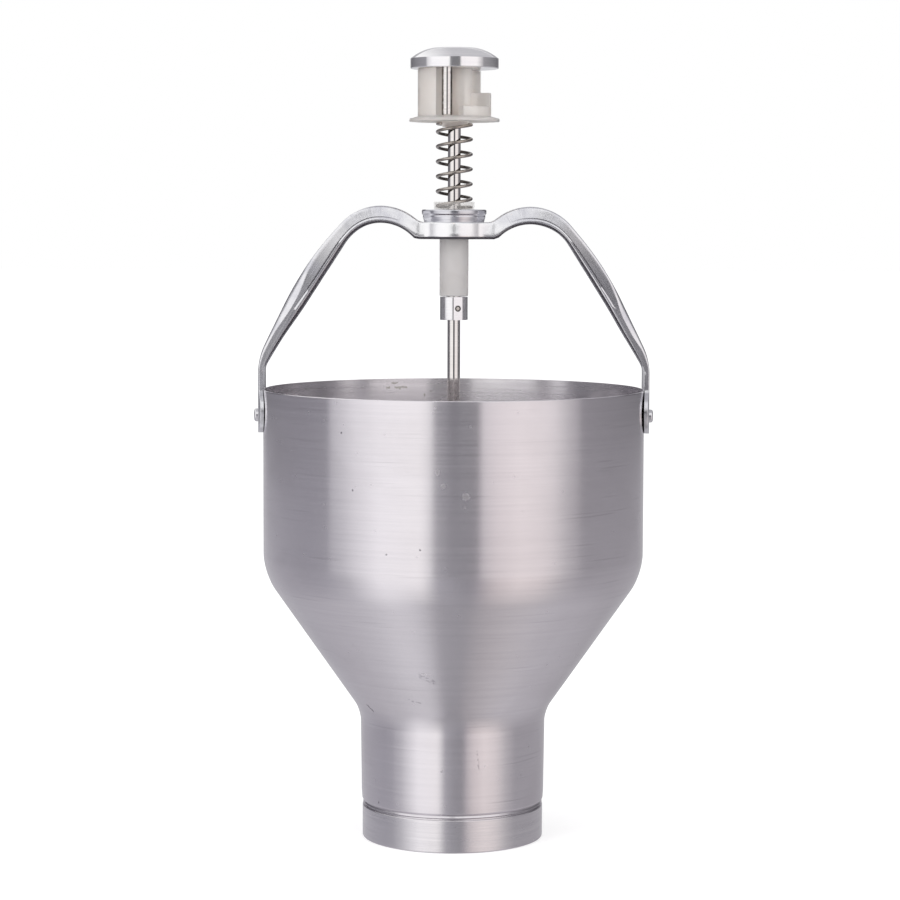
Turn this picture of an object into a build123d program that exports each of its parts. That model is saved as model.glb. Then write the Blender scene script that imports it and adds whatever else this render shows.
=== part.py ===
from build123d import *
import math
import os

# A hand batter dispenser for doughnuts: a spun hopper with a strap handle over its mouth, and a
# sprung plunger that slides in the middle of the strap. Pressing the knob lowers the piston into
# the outlet, which shuts off the hopper, and pushes the cutter disc out below, so that a ring of
# batter leaves between the two.
# Origin at the centre of the outlet's lower edge, +Z up, in millimetres. The front, where the
# level pin shows, is -Y.

# Hopper
hopper_d = 180.0          # outside of the barrel
hopper_wall = 1.5
barrel_height = 86.8      # cone corner to rim
barrel_corner_r = 29.0
cone_angle = 34.9         # degrees from the axis
neck_d = 87.8             # at the cone corner
neck_draft = 0.5          # radial, narrower at the foot
neck_height = 44.3        # neck's lower edge to the cone corner
neck_corner_r = 17.0
neck_edge_r = 1.0         # rolled lower edge
rim_round = 0.5

# Outlet ring, pressed into the neck
lip_step = 0.45           # radial, lip inside the neck's foot
lip_height = 16.5
lip_edge_r = 0.8
liner_height = 33.4       # above the lip, inside the neck
liner_lead = 2.0          # funnel at the liner's top
liner_wall = 2.85
liner_fit = 0.05          # radial

# Plunger discs and what clamps them
rod_d = 6.0
disc_gap = 0.3            # radial, disc in the outlet bore
cutter_recess = 1.0       # cutter's underside above the outlet's edge
cutter_rim = 3.0
cutter_rise = 9.0         # cone from the rim to the hub
hub_d = 18.0
pocket_d = 17.0           # counterbore for the cap nut
cap_nut_h = 7.0
cap_dome_h = 2.2
cap_dome_land = 0.2       # straight part of the dome's side
cap_wall = 1.2
nut_flats = 10.0
nut_h = 5.0
washer_d = 12.4
washer_t = 0.8
nut_inset = 0.2           # cap nut above the cutter's underside
feed_gap = 12.0           # liner's top to the piston's underside
piston_rim = 6.0
piston_rise = 4.0
spacer_d = 12.0
thread_fit = 0.05         # radial, rod in nuts, discs and collar
edge_break = 0.4

# Handle: a pressed channel with a boss in the middle and flat ears at its ends
strip_t = 2.4
strap_w = 21.0
strap_depth = 7.6         # flange depth at the boss
handle_rise = 78.7        # rim to the boss's top face
boss_d = 32.0
boss_corner_r = 5.0       # in plan, boss to arms
shoulder_x = 16.8         # corner where the arms rise from the boss
shoulder_r = 6.0
crest_x = 38.5            # corner of the crest's outline
crest_rise = 16.8         # above the boss's top face
crest_r = 25.0
crest_depth = 4.0         # flange's edge below the crest's corner
inner_crest_r = 21.0
inner_shoulder_shift = 1.0
inner_shoulder_r = 3.0
arm_bulge = 6.4           # bow of the arm's outline
arm_r = 150.0
ear_bend_rise = 13.8      # rim to the outer bend
ear_bend_r = 31.0
inner_bend_rise = 10.0    # rim to the inner bend
inner_bend_r = 7.0
fold_r = 2.2              # outside of the channel's folds
ear_w = 34.0
ear_h = 20.0
ear_drop = 10.5           # rim to the ear's middle
ear_flat = 0.2            # straight part of the ear's ends
ear_corner_r = 5.0
arm_lap = 6.7             # arm's end above the ear's middle
arm_end_t = 0.24          # what is left of the arm there
arm_taper = 0.6           # share of the height up to the bend that thins
channel_stop = 0.15       # share of the arm's lower run without a channel
ease_room = 0.98          # share of a run that its rounded corners may take
ear_fit = 0.05            # ear on the barrel
roll_inset = 0.1          # rolled ear inside the arm's outer face

# Rivets
rivet_drop = 12.6         # below the rim
rivet_d = 4.0
rivet_head_d = 6.2
rivet_head_h = 2.0
rivet_head_land = 1.0     # straight part of the head's side
rivet_tail_h = 1.4
rivet_tail_land = 0.4
rivet_fit = 0.05

# Rod guide
disc_d = 30.6
disc_foot_d = 28.6
disc_t = 5.9
disc_floor = 3.0          # under the bush's flange
disc_lip = 1.6
disc_groove = 0.5
bush_d = 13.6
bush_drop = 27.2          # below the channel's edge
bush_fit = 0.1            # radial, in the disc and the boss
cup_floor = 3.0
cup_wall = 0.5
cup_depth = 3.5
cup_flare = 0.2
slide_fit = 0.08          # radial, rod in its guides

# Return spring, as it stands at rest
spring_d = 17.5
wire_d = 1.5
spring_seat = 41.0        # cup's floor to the adjuster's underside
spring_gap = 0.25         # to each seat and to the cup's wall
spring_turns = 6.75
flat_turns = 0.4          # closed turn at each end
ramp_turns = 0.35         # from the flat turn to the full pitch
spring_start = -49.0      # degrees

# Dose adjuster: a stair that the level pin stands on
flange_d = 42.3
flange_t = 2.4
flange_edge_t = 1.3
adjuster_hub_d = 13.8
adjuster_hub_end_d = 11.4
adjuster_hub_h = 2.4
stair_d = 34.4
stair_core_d = 16.0
stair_steps = (4.5, 10.9)
stair_top = 22.1
step_angle = 60.0
tread_lap = 10.0          # degrees, one step into the next
stair_round = 0.6
pin_d = 5.0
pin_orbit_r = 12.6
pin_angle = -106.0
bay_before = 14.0         # degrees, stair's wall to the pin, which stands near it
bay_after = 30.0          # degrees, pin to the first step
stop_gap = 0.1            # between faces that meet at the end of a stroke

# Knob and stop collar
knob_d = 41.4
knob_band = 4.7
knob_dome = 4.9
knob_flat_d = 21.0
knob_sagitta = 0.75
knob_edge_r = 0.5
rod_in_knob = 7.0
pin_in_knob = 5.0
collar_d = 13.1
collar_h = 10.9
screw_d = 2.9
screw_socket = 1.5
screw_angle = -72.0
screw_inset = 0.2

# Levels worked out from the sizes above
hopper_r = hopper_d / 2
neck_r = neck_d / 2
foot_r = neck_r - neck_draft
lip_r = foot_r - lip_step
liner_r = foot_r - hopper_wall - liner_fit
bore_r = liner_r - liner_wall
rod_r = rod_d / 2
cone_bottom_z = lip_height + neck_height
cone_top_z = cone_bottom_z + (hopper_r - neck_r) / math.tan(math.radians(cone_angle))
rim_z = cone_top_z + barrel_height
rivet_z = rim_z - rivet_drop
liner_top_z = lip_height + liner_height
cutter_z = cutter_recess
cutter_hub_z = cutter_z + cutter_rim + cutter_rise
nut_seat_z = cutter_z + nut_inset + cap_nut_h + washer_t
rod_foot_z = cutter_z + nut_inset + cap_wall
piston_z = liner_top_z + feed_gap
piston_hub_z = piston_z + piston_rim + piston_rise
boss_z = rim_z + handle_rise
strap_edge_z = boss_z - strap_depth
bush_foot_z = strap_edge_z - bush_drop
collar_z = bush_foot_z - stop_gap - collar_h
cup_z = boss_z + disc_floor + cup_floor
adjuster_z = cup_z + spring_seat
stair_z = adjuster_z + flange_t
knob_z = stair_z + stair_top + stop_gap
knob_top_z = knob_z + knob_band + knob_dome


def turned(points, rounds=()):
    """Solid of revolution about Z from (radius, height) points; rounds holds (corner, radius) pairs."""
    face = make_face(Polyline(*points, close=True))
    for corner, radius in rounds:
        vertex = face.vertices().sort_by_distance(Vector(*points[corner]))[0]
        face = fillet(vertex, radius)
    return revolve(Plane.XZ * face, Axis.Z)


def rod_between(radius, low, high):
    """Upright cylinder on the axis."""
    return Pos(0, 0, low) * Cylinder(radius, high - low, align=(Align.CENTER, Align.CENTER, Align.MIN))


def hexagon(flats, low, high):
    """Upright hexagonal bar on the axis."""
    outline = RegularPolygon(flats / 2, 6, major_radius=False)
    return extrude(Pos(0, 0, low) * outline, high - low)


def at_angle(radius, degrees):
    """Point of a circle about the axis."""
    return radius * math.cos(math.radians(degrees)), radius * math.sin(math.radians(degrees))


def make_hopper():
    shift = hopper_wall * math.tan(math.radians(cone_angle) / 2)
    outline = [
        (foot_r, lip_height),
        (neck_r, cone_bottom_z),
        (hopper_r, cone_top_z),
        (hopper_r, rim_z),
        (hopper_r - hopper_wall, rim_z),
        (hopper_r - hopper_wall, cone_top_z + shift),
        (neck_r - hopper_wall, cone_bottom_z + shift),
        (foot_r - hopper_wall, lip_height),
    ]
    rounds = [
        (0, neck_edge_r),
        (1, neck_corner_r),
        (2, barrel_corner_r),
        (3, rim_round),
        (4, rim_round),
        (5, barrel_corner_r - hopper_wall),
        (6, neck_corner_r + hopper_wall),
    ]
    shell = turned(outline, rounds)
    return shell - rivet_holes()


def rivet_holes():
    """Bar across both walls, for the holes of the two rivets."""
    return Pos(0, 0, rivet_z) * Rot(0, 90, 0) * Cylinder(rivet_d / 2 + rivet_fit, 2 * hopper_d)


def make_outlet_ring():
    outline = [
        (bore_r, 0),
        (lip_r, 0),
        (lip_r, lip_height),
        (liner_r, lip_height),
        (liner_r, liner_top_z),
        (bore_r + liner_lead, liner_top_z),
        (bore_r, liner_top_z - liner_lead),
    ]
    return turned(outline, [(1, lip_edge_r)])


def make_cutter_disc():
    disc_r = bore_r - disc_gap
    outline = [
        (rod_r + thread_fit, nut_seat_z),
        (pocket_d / 2, nut_seat_z),
        (pocket_d / 2, cutter_z),
        (disc_r, cutter_z),
        (disc_r, cutter_z + cutter_rim),
        (hub_d / 2, cutter_hub_z),
        (rod_r + thread_fit, cutter_hub_z),
    ]
    return turned(outline, [(3, edge_break), (4, edge_break)])


def make_piston():
    disc_r = bore_r - disc_gap
    outline = [
        (rod_r + thread_fit, piston_z),
        (disc_r, piston_z),
        (disc_r, piston_z + piston_rim),
        (hub_d / 2, piston_hub_z),
        (rod_r + thread_fit, piston_hub_z),
    ]
    return turned(outline, [(1, edge_break), (2, edge_break)])


def make_washer(low):
    high = low + washer_t
    return rod_between(washer_d / 2, low, high) - rod_between(rod_r + thread_fit, low, high)


def make_piston_nut():
    low = piston_hub_z + washer_t
    high = low + nut_h
    corner_r = nut_flats / math.sqrt(3)
    bevel = corner_r - nut_flats / 2
    drum = turned([
        (0, low),
        (nut_flats / 2, low),
        (corner_r, low + bevel / 2),
        (corner_r, high - bevel / 2),
        (nut_flats / 2, high),
        (0, high),
    ])
    return (hexagon(nut_flats, low, high) & drum) - rod_between(rod_r + thread_fit, low, high)


def make_cap_nut():
    low = cutter_z + nut_inset
    high = low + cap_nut_h
    dome_r = nut_flats / 2 - edge_break
    body = hexagon(nut_flats, low + cap_dome_h, high)
    dome = turned([(0, low), (dome_r, low), (dome_r, low + cap_dome_h), (0, low + cap_dome_h)],
                  [(1, cap_dome_h - cap_dome_land)])
    return body + dome - rod_between(rod_r + thread_fit, rod_foot_z, high)


def make_spacer_tube():
    tube = rod_between(spacer_d / 2, cutter_hub_z, piston_z)
    return tube - rod_between(rod_r + thread_fit, cutter_hub_z, piston_z)


def make_plunger_rod():
    rod = rod_between(rod_r, rod_foot_z, knob_z + rod_in_knob)
    return chamfer(rod.edges(), edge_break)


def make_stop_collar():
    top = collar_z + collar_h
    inner = rod_r + thread_fit
    ring = turned([(inner, collar_z), (collar_d / 2, collar_z), (collar_d / 2, top), (inner, top)],
                  [(1, edge_break), (2, edge_break)])
    return ring - screw_bar(screw_d / 2 + thread_fit, 0, collar_d)


def screw_bar(radius, inner, outer):
    """Bar along the grub screw's line, between two distances from the axis."""
    bar = Cylinder(radius, outer - inner, align=(Align.CENTER, Align.CENTER, Align.MIN))
    line = Pos(0, 0, collar_z + collar_h / 2) * Rot(0, 0, screw_angle) * Rot(0, 90, 0)
    return line * Pos(0, 0, inner) * bar


def make_collar_screw():
    outer = collar_d / 2 - screw_inset
    screw = screw_bar(screw_d / 2, rod_r + thread_fit, outer)
    socket = hexagon(screw_socket, outer - screw_socket, outer)
    return screw - Pos(0, 0, collar_z + collar_h / 2) * Rot(0, 0, screw_angle) * Rot(0, 90, 0) * socket


def eased_radii(points, radii):
    """Corner radii, held to what the runs beside each corner leave room for."""
    runs = [Vector(*b) - Vector(*a) for a, b in zip(points, points[1:])]
    reach = [0.0]
    for before, after, radius in zip(runs, runs[1:], radii):
        reach.append(radius * math.tan(math.radians(before.get_angle(after)) / 2))
    reach.append(0.0)
    room = [ease_room * run.length / (a + b) for run, a, b in zip(runs, reach, reach[1:])]
    return [radius * min(1.0, a, b) for radius, a, b in zip(radii, room, room[1:])]


def inset_points(points, depth):
    """Corners of the same outline, moved to its right by depth."""
    moved = []
    for k in range(len(points)):
        sides = []
        for a, b in zip(points[max(k - 1, 0):k + 1], points[max(k, 1):k + 2]):
            run = (Vector(*b) - Vector(*a)).normalized()
            sides.append(Vector(run.Y, -run.X))
        mitre = (sides[0] + sides[-1]).normalized()
        step = mitre * (depth / mitre.dot(sides[0]))
        moved.append((points[k][0] + step.X, points[k][1] + step.Y))
    return moved


def both_sides(points):
    """Outline across the whole handle, from its right half."""
    return [(-x, z) for x, z in reversed(points)] + points


def eased_path(points, radii):
    return FilletPolyline(*points, radius=eased_radii(points, radii))


def channel_plan(grow):
    """Handle seen from above: round boss and straight arms, grown or shrunk all round."""
    boss_r = boss_d / 2 + grow
    half_w = strap_w / 2 + grow
    plan = Circle(boss_r) + Rectangle(2 * hopper_d, 2 * half_w)
    joint_x = math.sqrt(boss_r ** 2 - half_w ** 2)
    corners = [v for v in plan.vertices() if abs(abs(v.X) - joint_x) < 0.01]
    return fillet(corners, boss_corner_r - grow)


def make_handle_bridge():
    face_x = hopper_r + ear_fit + strip_t
    crest = Vector(crest_x, boss_z + crest_rise)
    bend = Vector(face_x, rim_z + ear_bend_rise)
    fall = (bend - crest).normalized()
    bow = (crest + bend) / 2 + Vector(-fall.Y, fall.X) * arm_bulge
    ear_z = rim_z - ear_drop
    foot_z = ear_z + arm_lap

    # side view: the outer face and the flanges' free edge
    top_edge = [
        (shoulder_x, boss_z),
        (crest.X, crest.Y),
        (bow.X, bow.Y),
        (bend.X, bend.Y),
        (face_x, foot_z),
    ]
    top_radii = [shoulder_r, crest_r, arm_r, ear_bend_r]
    free_edge = [
        (shoulder_x + inner_shoulder_shift, strap_edge_z),
        (crest_x, boss_z + crest_rise - crest_depth),
        (face_x - strip_t, rim_z + inner_bend_rise),
        (face_x - strip_t, foot_z),
    ]
    free_radii = [inner_shoulder_r, inner_crest_r, inner_bend_r]
    outer = eased_path(both_sides(top_edge), top_radii[::-1] + top_radii)
    inner = eased_path(both_sides(free_edge), free_radii[::-1] + free_radii)
    ends = [Line(outer @ 0, inner @ 0), Line(outer @ 1, inner @ 1)]
    side_view = make_face([outer, inner] + ends)
    blank = extrude(Plane.XZ * side_view, boss_d, both=True)
    height = boss_z + crest_rise - foot_z
    blank = blank & extrude(Pos(0, 0, foot_z) * channel_plan(0), height)

    # folds along the outer face's long edges
    outer_line = Plane.XZ * outer
    folds = []
    for edge in blank.edges():
        middle = edge @ 0.5
        on_outer = outer_line.distance_to(Vector(middle.X, 0, middle.Z)) < 0.01
        if on_outer and abs(middle.Y) > strap_w / 2 - 0.01:
            folds.append(edge)
    blank = fillet(folds, fold_r)

    # the channel's inside, which runs out above the ears
    under = inset_points(both_sides(top_edge), strip_t)
    run_out = Vector(*under[-2]) * (1 - channel_stop) + Vector(*under[-3]) * channel_stop
    under = [(-run_out.X, run_out.Y)] + under[2:-2] + [(run_out.X, run_out.Y)]
    under_radii = [shoulder_r + strip_t, crest_r - strip_t, arm_r - strip_t]
    roof = eased_path(under, under_radii[::-1] + under_radii)
    hollow_view = make_face([roof, Line(roof @ 1, roof @ 0)])
    hollow = extrude(Plane.XZ * hollow_view, boss_d, both=True)
    hollow = hollow & extrude(Pos(0, 0, foot_z) * channel_plan(-strip_t), height)
    bush_hole = rod_between(bush_d / 2 + bush_fit, strap_edge_z - strip_t, boss_z + strip_t)
    bridge = blank - hollow - bush_hole

    # ears, rolled to the barrel
    neck_h = bend.Y - ear_z - strip_t
    ear_view = RectangleRounded(ear_w, ear_h, (ear_h - ear_flat) / 2)
    ear_view = ear_view + Pos(0, neck_h / 2) * Rectangle(strap_w, neck_h)
    waist = []
    for vertex in ear_view.vertices():
        if abs(abs(vertex.X) - strap_w / 2) < 0.01 and 0 < vertex.Y < ear_h / 2:
            waist.append(vertex)
    ear_view = fillet(waist, ear_corner_r)
    across = Plane(origin=(0, 0, ear_z), x_dir=(0, 1, 0), z_dir=(1, 0, 0))
    slab = extrude(across * ear_view, 2 * hopper_r, both=True)
    rolled = rod_between(face_x - roll_inset, rim_z - 2 * ear_h, rim_z + 2 * ear_h)
    rolled = rolled - rod_between(hopper_r + ear_fit, rim_z - 2 * ear_h, rim_z + 2 * ear_h)
    return bridge - arm_ends(face_x, foot_z, bend.Y) + (slab & rolled) - rivet_holes()


def arm_ends(face_x, foot_z, bend_z):
    """Wedges off the arms' lower ends, where they thin out into the rolled ears."""
    high_z = foot_z + arm_taper * (bend_z - foot_z)
    thin_x = face_x - strip_t + arm_end_t
    view = make_face(Polyline((face_x, high_z), (thin_x, foot_z), (thin_x, foot_z - strip_t),
                              (face_x + strip_t, foot_z - strip_t), (face_x + strip_t, high_z), close=True))
    wedge = extrude(Plane.XZ * view, strap_w, both=True)
    return wedge + mirror(wedge, Plane.YZ)


def make_rivet(side):
    """Button-headed rivet through an ear and the barrel; side is 1 or -1 along X."""
    inner = math.sqrt((hopper_r - hopper_wall) ** 2 - (rivet_head_d / 2) ** 2) - rivet_fit
    face = hopper_r + ear_fit + strip_t - roll_inset
    outline = [
        (0, inner - rivet_tail_h),
        (rivet_head_d / 2, inner - rivet_tail_h),
        (rivet_head_d / 2, inner),
        (rivet_d / 2, inner),
        (rivet_d / 2, face),
        (rivet_head_d / 2, face),
        (rivet_head_d / 2, face + rivet_head_h),
        (0, face + rivet_head_h),
    ]
    rivet = turned(outline, [(1, rivet_tail_h - rivet_tail_land), (6, rivet_head_h - rivet_head_land)])
    return Pos(0, 0, rivet_z) * Rot(0, 90 * side, 0) * rivet


def make_guide_disc():
    top = boss_z + disc_t
    seat = boss_z + disc_floor
    lip_z = top - disc_lip
    outline = [
        (bush_d / 2 + bush_fit, boss_z),
        (disc_foot_d / 2, boss_z),
        (disc_d / 2 - disc_groove, lip_z - disc_groove),
        (disc_d / 2 - 2 * disc_groove, lip_z),
        (disc_d / 2, lip_z + disc_groove),
        (disc_d / 2, top),
        (cup_outer_r() + bush_fit, top),
        (cup_outer_r() + bush_fit, seat),
        (bush_d / 2 + bush_fit, seat),
    ]
    return turned(outline, [(5, disc_groove), (1, edge_break)])


def cup_outer_r():
    """Outside of the bush's spring cup, where it stands in the disc."""
    return spring_d / 2 + spring_gap + cup_wall


def make_guide_bush():
    seat = boss_z + disc_floor
    rim = cup_z + cup_depth
    outline = [
        (rod_r + slide_fit, bush_foot_z),
        (bush_d / 2, bush_foot_z),
        (bush_d / 2, seat),
        (cup_outer_r(), seat),
        (cup_outer_r(), boss_z + disc_t),
        (cup_outer_r() + cup_flare, rim),
        (cup_outer_r() + cup_flare - cup_wall, rim),
        (cup_outer_r() - cup_wall, cup_z),
        (rod_r + slide_fit, cup_z),
    ]
    return turned(outline, [(1, edge_break)])


def spring_point(turn):
    """Centre of the wire and its direction, after so many turns from the lower end."""
    rise = spring_seat - 2 * spring_gap - wire_d
    pitch = rise / (spring_turns - 2 * flat_turns - ramp_turns)

    def climb(t):
        """Turns of full pitch gained over the flat end and the ramp."""
        into = min(max(t - flat_turns, 0.0), ramp_turns)
        past = max(t - flat_turns - ramp_turns, 0.0)
        return into * into / (2 * ramp_turns) + past, into / ramp_turns

    if turn <= spring_turns / 2:
        gained, slope = climb(turn)
        height = pitch * gained
    else:
        gained, slope = climb(spring_turns - turn)
        height = rise - pitch * gained
    radius = (spring_d - wire_d) / 2
    angle = math.radians(spring_start) + 2 * math.pi * turn
    low = cup_z + spring_gap + wire_d / 2
    place = Vector(radius * math.cos(angle), radius * math.sin(angle), low + height)
    along = Vector(-math.sin(angle), math.cos(angle), pitch * slope / (2 * math.pi * radius))
    return place, along.normalized()


def biarc(start, start_way, end, end_way):
    """Two arcs that leave start along start_way, meet smoothly and reach end along end_way."""
    chord = end - start
    ways = start_way + end_way
    spread = 2 * (1 - start_way.dot(end_way))
    lean = chord.dot(ways)
    reach = (math.sqrt(lean * lean + spread * chord.dot(chord)) - lean) / spread
    joint = (start + end + (start_way - end_way) * reach) / 2
    first = TangentArc(start, joint, tangent=start_way)
    return [first, TangentArc(joint, end, tangent=first % 1)]


def make_return_spring():
    quarters = round(spring_turns * 4)
    nodes = [spring_point(spring_turns * k / quarters) for k in range(quarters + 1)]
    arcs = []
    for (start, start_way), (end, end_way) in zip(nodes, nodes[1:]):
        arcs += biarc(start, start_way, end, end_way)
    path = Wire(arcs)
    start, way = nodes[0]
    ring = Plane(origin=start, x_dir=(0, 0, 1), z_dir=way) * Circle(wire_d / 2)
    spring = sweep(ring, path=path)
    plain = math.pi * wire_d ** 2 / 4 * path.length
    print("spring volume over section times length", spring.volume / plain)
    print("spring least gap to itself, mm", spring_self_gap(path))
    return spring


def spring_self_gap(path):
    """Least clear distance between turns, from points along the wire."""
    count = 600
    points = [path @ (k / count) for k in range(count + 1)]
    apart = math.ceil(count * math.pi * spring_d / 3 / path.length)
    least = path.length
    for k, point in enumerate(points):
        for other in points[k + apart:]:
            least = min(least, (other - point).length)
    return least - wire_d


def sector(radius, start, stop):
    """Slice of a disc between two angles."""
    edges = [
        Line((0, 0), at_angle(radius, start)),
        CenterArc((0, 0), radius, start, stop - start),
        Line(at_angle(radius, stop), (0, 0)),
    ]
    return make_face(edges)


def make_adjuster():
    top = stair_z + stair_top
    base = turned([
        (0, adjuster_z - adjuster_hub_h),
        (adjuster_hub_end_d / 2, adjuster_z - adjuster_hub_h),
        (adjuster_hub_d / 2, adjuster_z),
        (flange_d / 2, adjuster_z),
        (flange_d / 2, adjuster_z + flange_edge_t),
        (stair_d / 2, stair_z),
        (stair_core_d / 2, stair_z),
        (stair_core_d / 2, top),
        (0, top),
    ], [(4, edge_break)])
    wall = pin_angle - bay_before
    start = pin_angle + bay_after
    stairs = base
    for height in stair_steps:
        stairs += make_tread(start, start + step_angle + tread_lap, height)
        start += step_angle
    stairs += make_tread(start, wall + 360, stair_top, both_ends=True)
    return stairs - rod_between(rod_r + slide_fit, adjuster_z - 2 * adjuster_hub_h, top + stair_round)


def make_tread(start, stop, height, both_ends=False):
    """Slice of the stair with a rounded tread; its last edge stays sharp where it meets the next one."""
    top = stair_z + height
    tread = extrude(Pos(0, 0, adjuster_z) * sector(stair_d / 2, start, stop), top - adjuster_z)
    rounded = []
    for edge in tread.edges():
        middle = edge @ 0.5
        turn = (math.degrees(math.atan2(middle.Y, middle.X)) - start) % 360
        on_tread = abs(middle.Z - top) < 0.01 and edge.length > stair_round
        if on_tread and (both_ends or abs(turn - (stop - start)) > 1):
            rounded.append(edge)
    return fillet(rounded, stair_round)


def make_level_pin():
    x, y = at_angle(pin_orbit_r, pin_angle)
    pin = rod_between(pin_d / 2, stair_z + stop_gap, knob_z + pin_in_knob)
    return Pos(x, y, 0) * chamfer(pin.edges(), edge_break)


def make_push_knob():
    band_z = knob_z + knob_band
    rim = knob_d / 2
    flat = knob_flat_d / 2
    edges = [
        Polyline((0, knob_top_z), (0, knob_z), (rim, knob_z), (rim, band_z)),
        SagittaArc((rim, band_z), (flat, knob_top_z), -knob_sagitta),
        Line((flat, knob_top_z), (0, knob_top_z)),
    ]
    face = make_face(edges)
    lower = face.vertices().sort_by_distance(Vector(rim, knob_z))[0]
    knob = revolve(Plane.XZ * fillet(lower, knob_edge_r), Axis.Z)
    x, y = at_angle(pin_orbit_r, pin_angle)
    knob -= rod_between(rod_r + thread_fit, knob_z, knob_z + rod_in_knob)
    return knob - Pos(x, y, 0) * rod_between(pin_d / 2 + thread_fit, knob_z, knob_z + pin_in_knob)


nodes = {
    "hopper": make_hopper(),
    "outlet_ring": make_outlet_ring(),
    "handle_bridge": make_handle_bridge(),
    "left_rivet": make_rivet(-1),
    "right_rivet": make_rivet(1),
    "guide_disc": make_guide_disc(),
    "guide_bush": make_guide_bush(),
    "return_spring": make_return_spring(),
    "adjuster": make_adjuster(),
    "push_knob": make_push_knob(),
    "level_pin": make_level_pin(),
    "plunger_rod": make_plunger_rod(),
    "stop_collar": make_stop_collar(),
    "collar_screw": make_collar_screw(),
    "piston_nut": make_piston_nut(),
    "piston_washer": make_washer(piston_hub_z),
    "piston": make_piston(),
    "spacer_tube": make_spacer_tube(),
    "cutter_disc": make_cutter_disc(),
    "cutter_washer": make_washer(nut_seat_z - washer_t),
    "cap_nut": make_cap_nut(),
}

os.makedirs("parts", exist_ok=True)
for name, shape in nodes.items():
    export_step(shape, f"parts/{name}.step")
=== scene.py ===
# %% [markdown]
# # A hand batter dispenser
# This lesson dresses a finished CAD model of a doughnut batter dispenser: a spun aluminium hopper, a
# pressed strap handle and a sprung plunger with a stepped nylon adjuster. The CAD model gives every place
# and size. Blender gives the finishes, the light and the few shapes that a CAD solid leaves plain.

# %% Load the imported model
import math

import bmesh
import bpy
from mathutils import Matrix, Vector


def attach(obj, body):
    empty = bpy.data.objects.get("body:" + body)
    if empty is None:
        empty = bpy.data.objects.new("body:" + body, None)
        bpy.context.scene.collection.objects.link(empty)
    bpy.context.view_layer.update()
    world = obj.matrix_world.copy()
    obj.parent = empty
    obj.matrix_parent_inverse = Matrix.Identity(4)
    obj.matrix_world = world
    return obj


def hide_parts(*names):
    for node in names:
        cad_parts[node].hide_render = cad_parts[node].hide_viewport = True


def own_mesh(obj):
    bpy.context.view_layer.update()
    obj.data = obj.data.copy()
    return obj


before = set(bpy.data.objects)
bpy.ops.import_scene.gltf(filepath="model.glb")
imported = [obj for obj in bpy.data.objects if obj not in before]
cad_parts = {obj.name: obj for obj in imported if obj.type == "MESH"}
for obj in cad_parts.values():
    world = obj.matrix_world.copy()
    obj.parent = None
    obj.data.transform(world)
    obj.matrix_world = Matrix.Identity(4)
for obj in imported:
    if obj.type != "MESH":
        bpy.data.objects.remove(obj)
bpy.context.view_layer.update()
scene = bpy.context.scene
MM = 0.001
# a mesh that Blender starts with isn't part of the model
for stray in [o for o in scene.objects if o.type == "MESH" and o.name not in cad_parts]:
    bpy.data.objects.remove(stray)

# %% [markdown]
# ## The camera
# The photograph was taken from the front, a little above the rim and from more than a metre away. The rim
# and the outlet are seen as thin ellipses, and how flat they are gives the distance and the height of the
# lens. A long lens with a small tilt fits both; the lens isn't shifted.

# %% Camera
lens_place = (0, -1.3186, 0.2932)
lens_mm = 111.6
tilt = 4.706
roll = 0.166
pan = 0.071
turn = Matrix.Rotation(math.radians(pan), 3, "Z") @ Matrix.Rotation(math.radians(90 - tilt), 3, "X")
turn = turn @ Matrix.Rotation(math.radians(roll), 3, "Z")
bpy.ops.object.camera_add(location=lens_place, rotation=turn.to_euler())
camera = bpy.context.object
camera.name = "photo_camera"
camera.data.sensor_width = 36.0
camera.data.lens = lens_mm
scene.camera = camera
scene.view_settings.view_transform = "Standard"
print("camera", [round(c, 3) for c in camera.location], "lens", round(camera.data.lens, 1))

# %% [markdown]
# ## Helpers for node trees
# Colours are written as sRGB hex codes, as a paint chart gives them, and one function turns them into the
# linear values that the shader wants. Another adds a node with its settings and links. A link may name a
# whole node, which stands for its first output in use, or one output of it.

# %% Node helpers
def tone(code):
    """Linear colour of an sRGB hex code."""
    parts = [int(code[k:k + 2], 16) / 255 for k in (1, 3, 5)]
    linear = [c / 12.92 if c <= 0.04045 else ((c + 0.055) / 1.055) ** 2.4 for c in parts]
    return (*linear, 1.0)


def join(node, links):
    """Join other nodes, or single outputs of theirs, to the sockets of a node."""
    for name, source in links.items():
        if isinstance(source, bpy.types.Node):
            source = next(output for output in source.outputs if output.enabled)
        node.id_data.links.new(source, node.inputs[name])


def add_node(tree, kind, settings=None, links=None):
    """Add a node; settings go to its sockets or properties, and links are joined to its sockets."""
    node = tree.nodes.new(kind)
    for name, value in (settings or {}).items():
        if isinstance(name, int) or name in node.inputs:
            node.inputs[name].default_value = value
        else:
            setattr(node, name, value)
    join(node, links or {})
    return node


print("white is", [round(c, 2) for c in tone("#ffffff")])

# %% [markdown]
# ## The studio
# Bare metal is only what it reflects, so the studio comes before the metal. The photograph shows a dark
# line down the middle of everything round, a bright band at each side of it and grey flanks: two tall
# soft boxes stand left and right of the camera, and the room behind them is grey. A round wall stands for
# that room. Its tone goes by the angle round the object, and only reflections see it. Camera, reflections
# and glass see a white world beyond it, while the soft light that falls on the object stays a little
# below white.

# %% World
soft_level = 0.84


def seen_white(tree):
    """1 for the camera, reflections and glass, and 0 for soft light."""
    path = add_node(tree, "ShaderNodeLightPath").outputs
    seen = path["Is Camera Ray"]
    for ray in ("Is Glossy Ray", "Is Transmission Ray"):
        seen = add_node(tree, "ShaderNodeMath", {"operation": "MAXIMUM"}, {0: seen, 1: path[ray]})
    return seen


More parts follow.
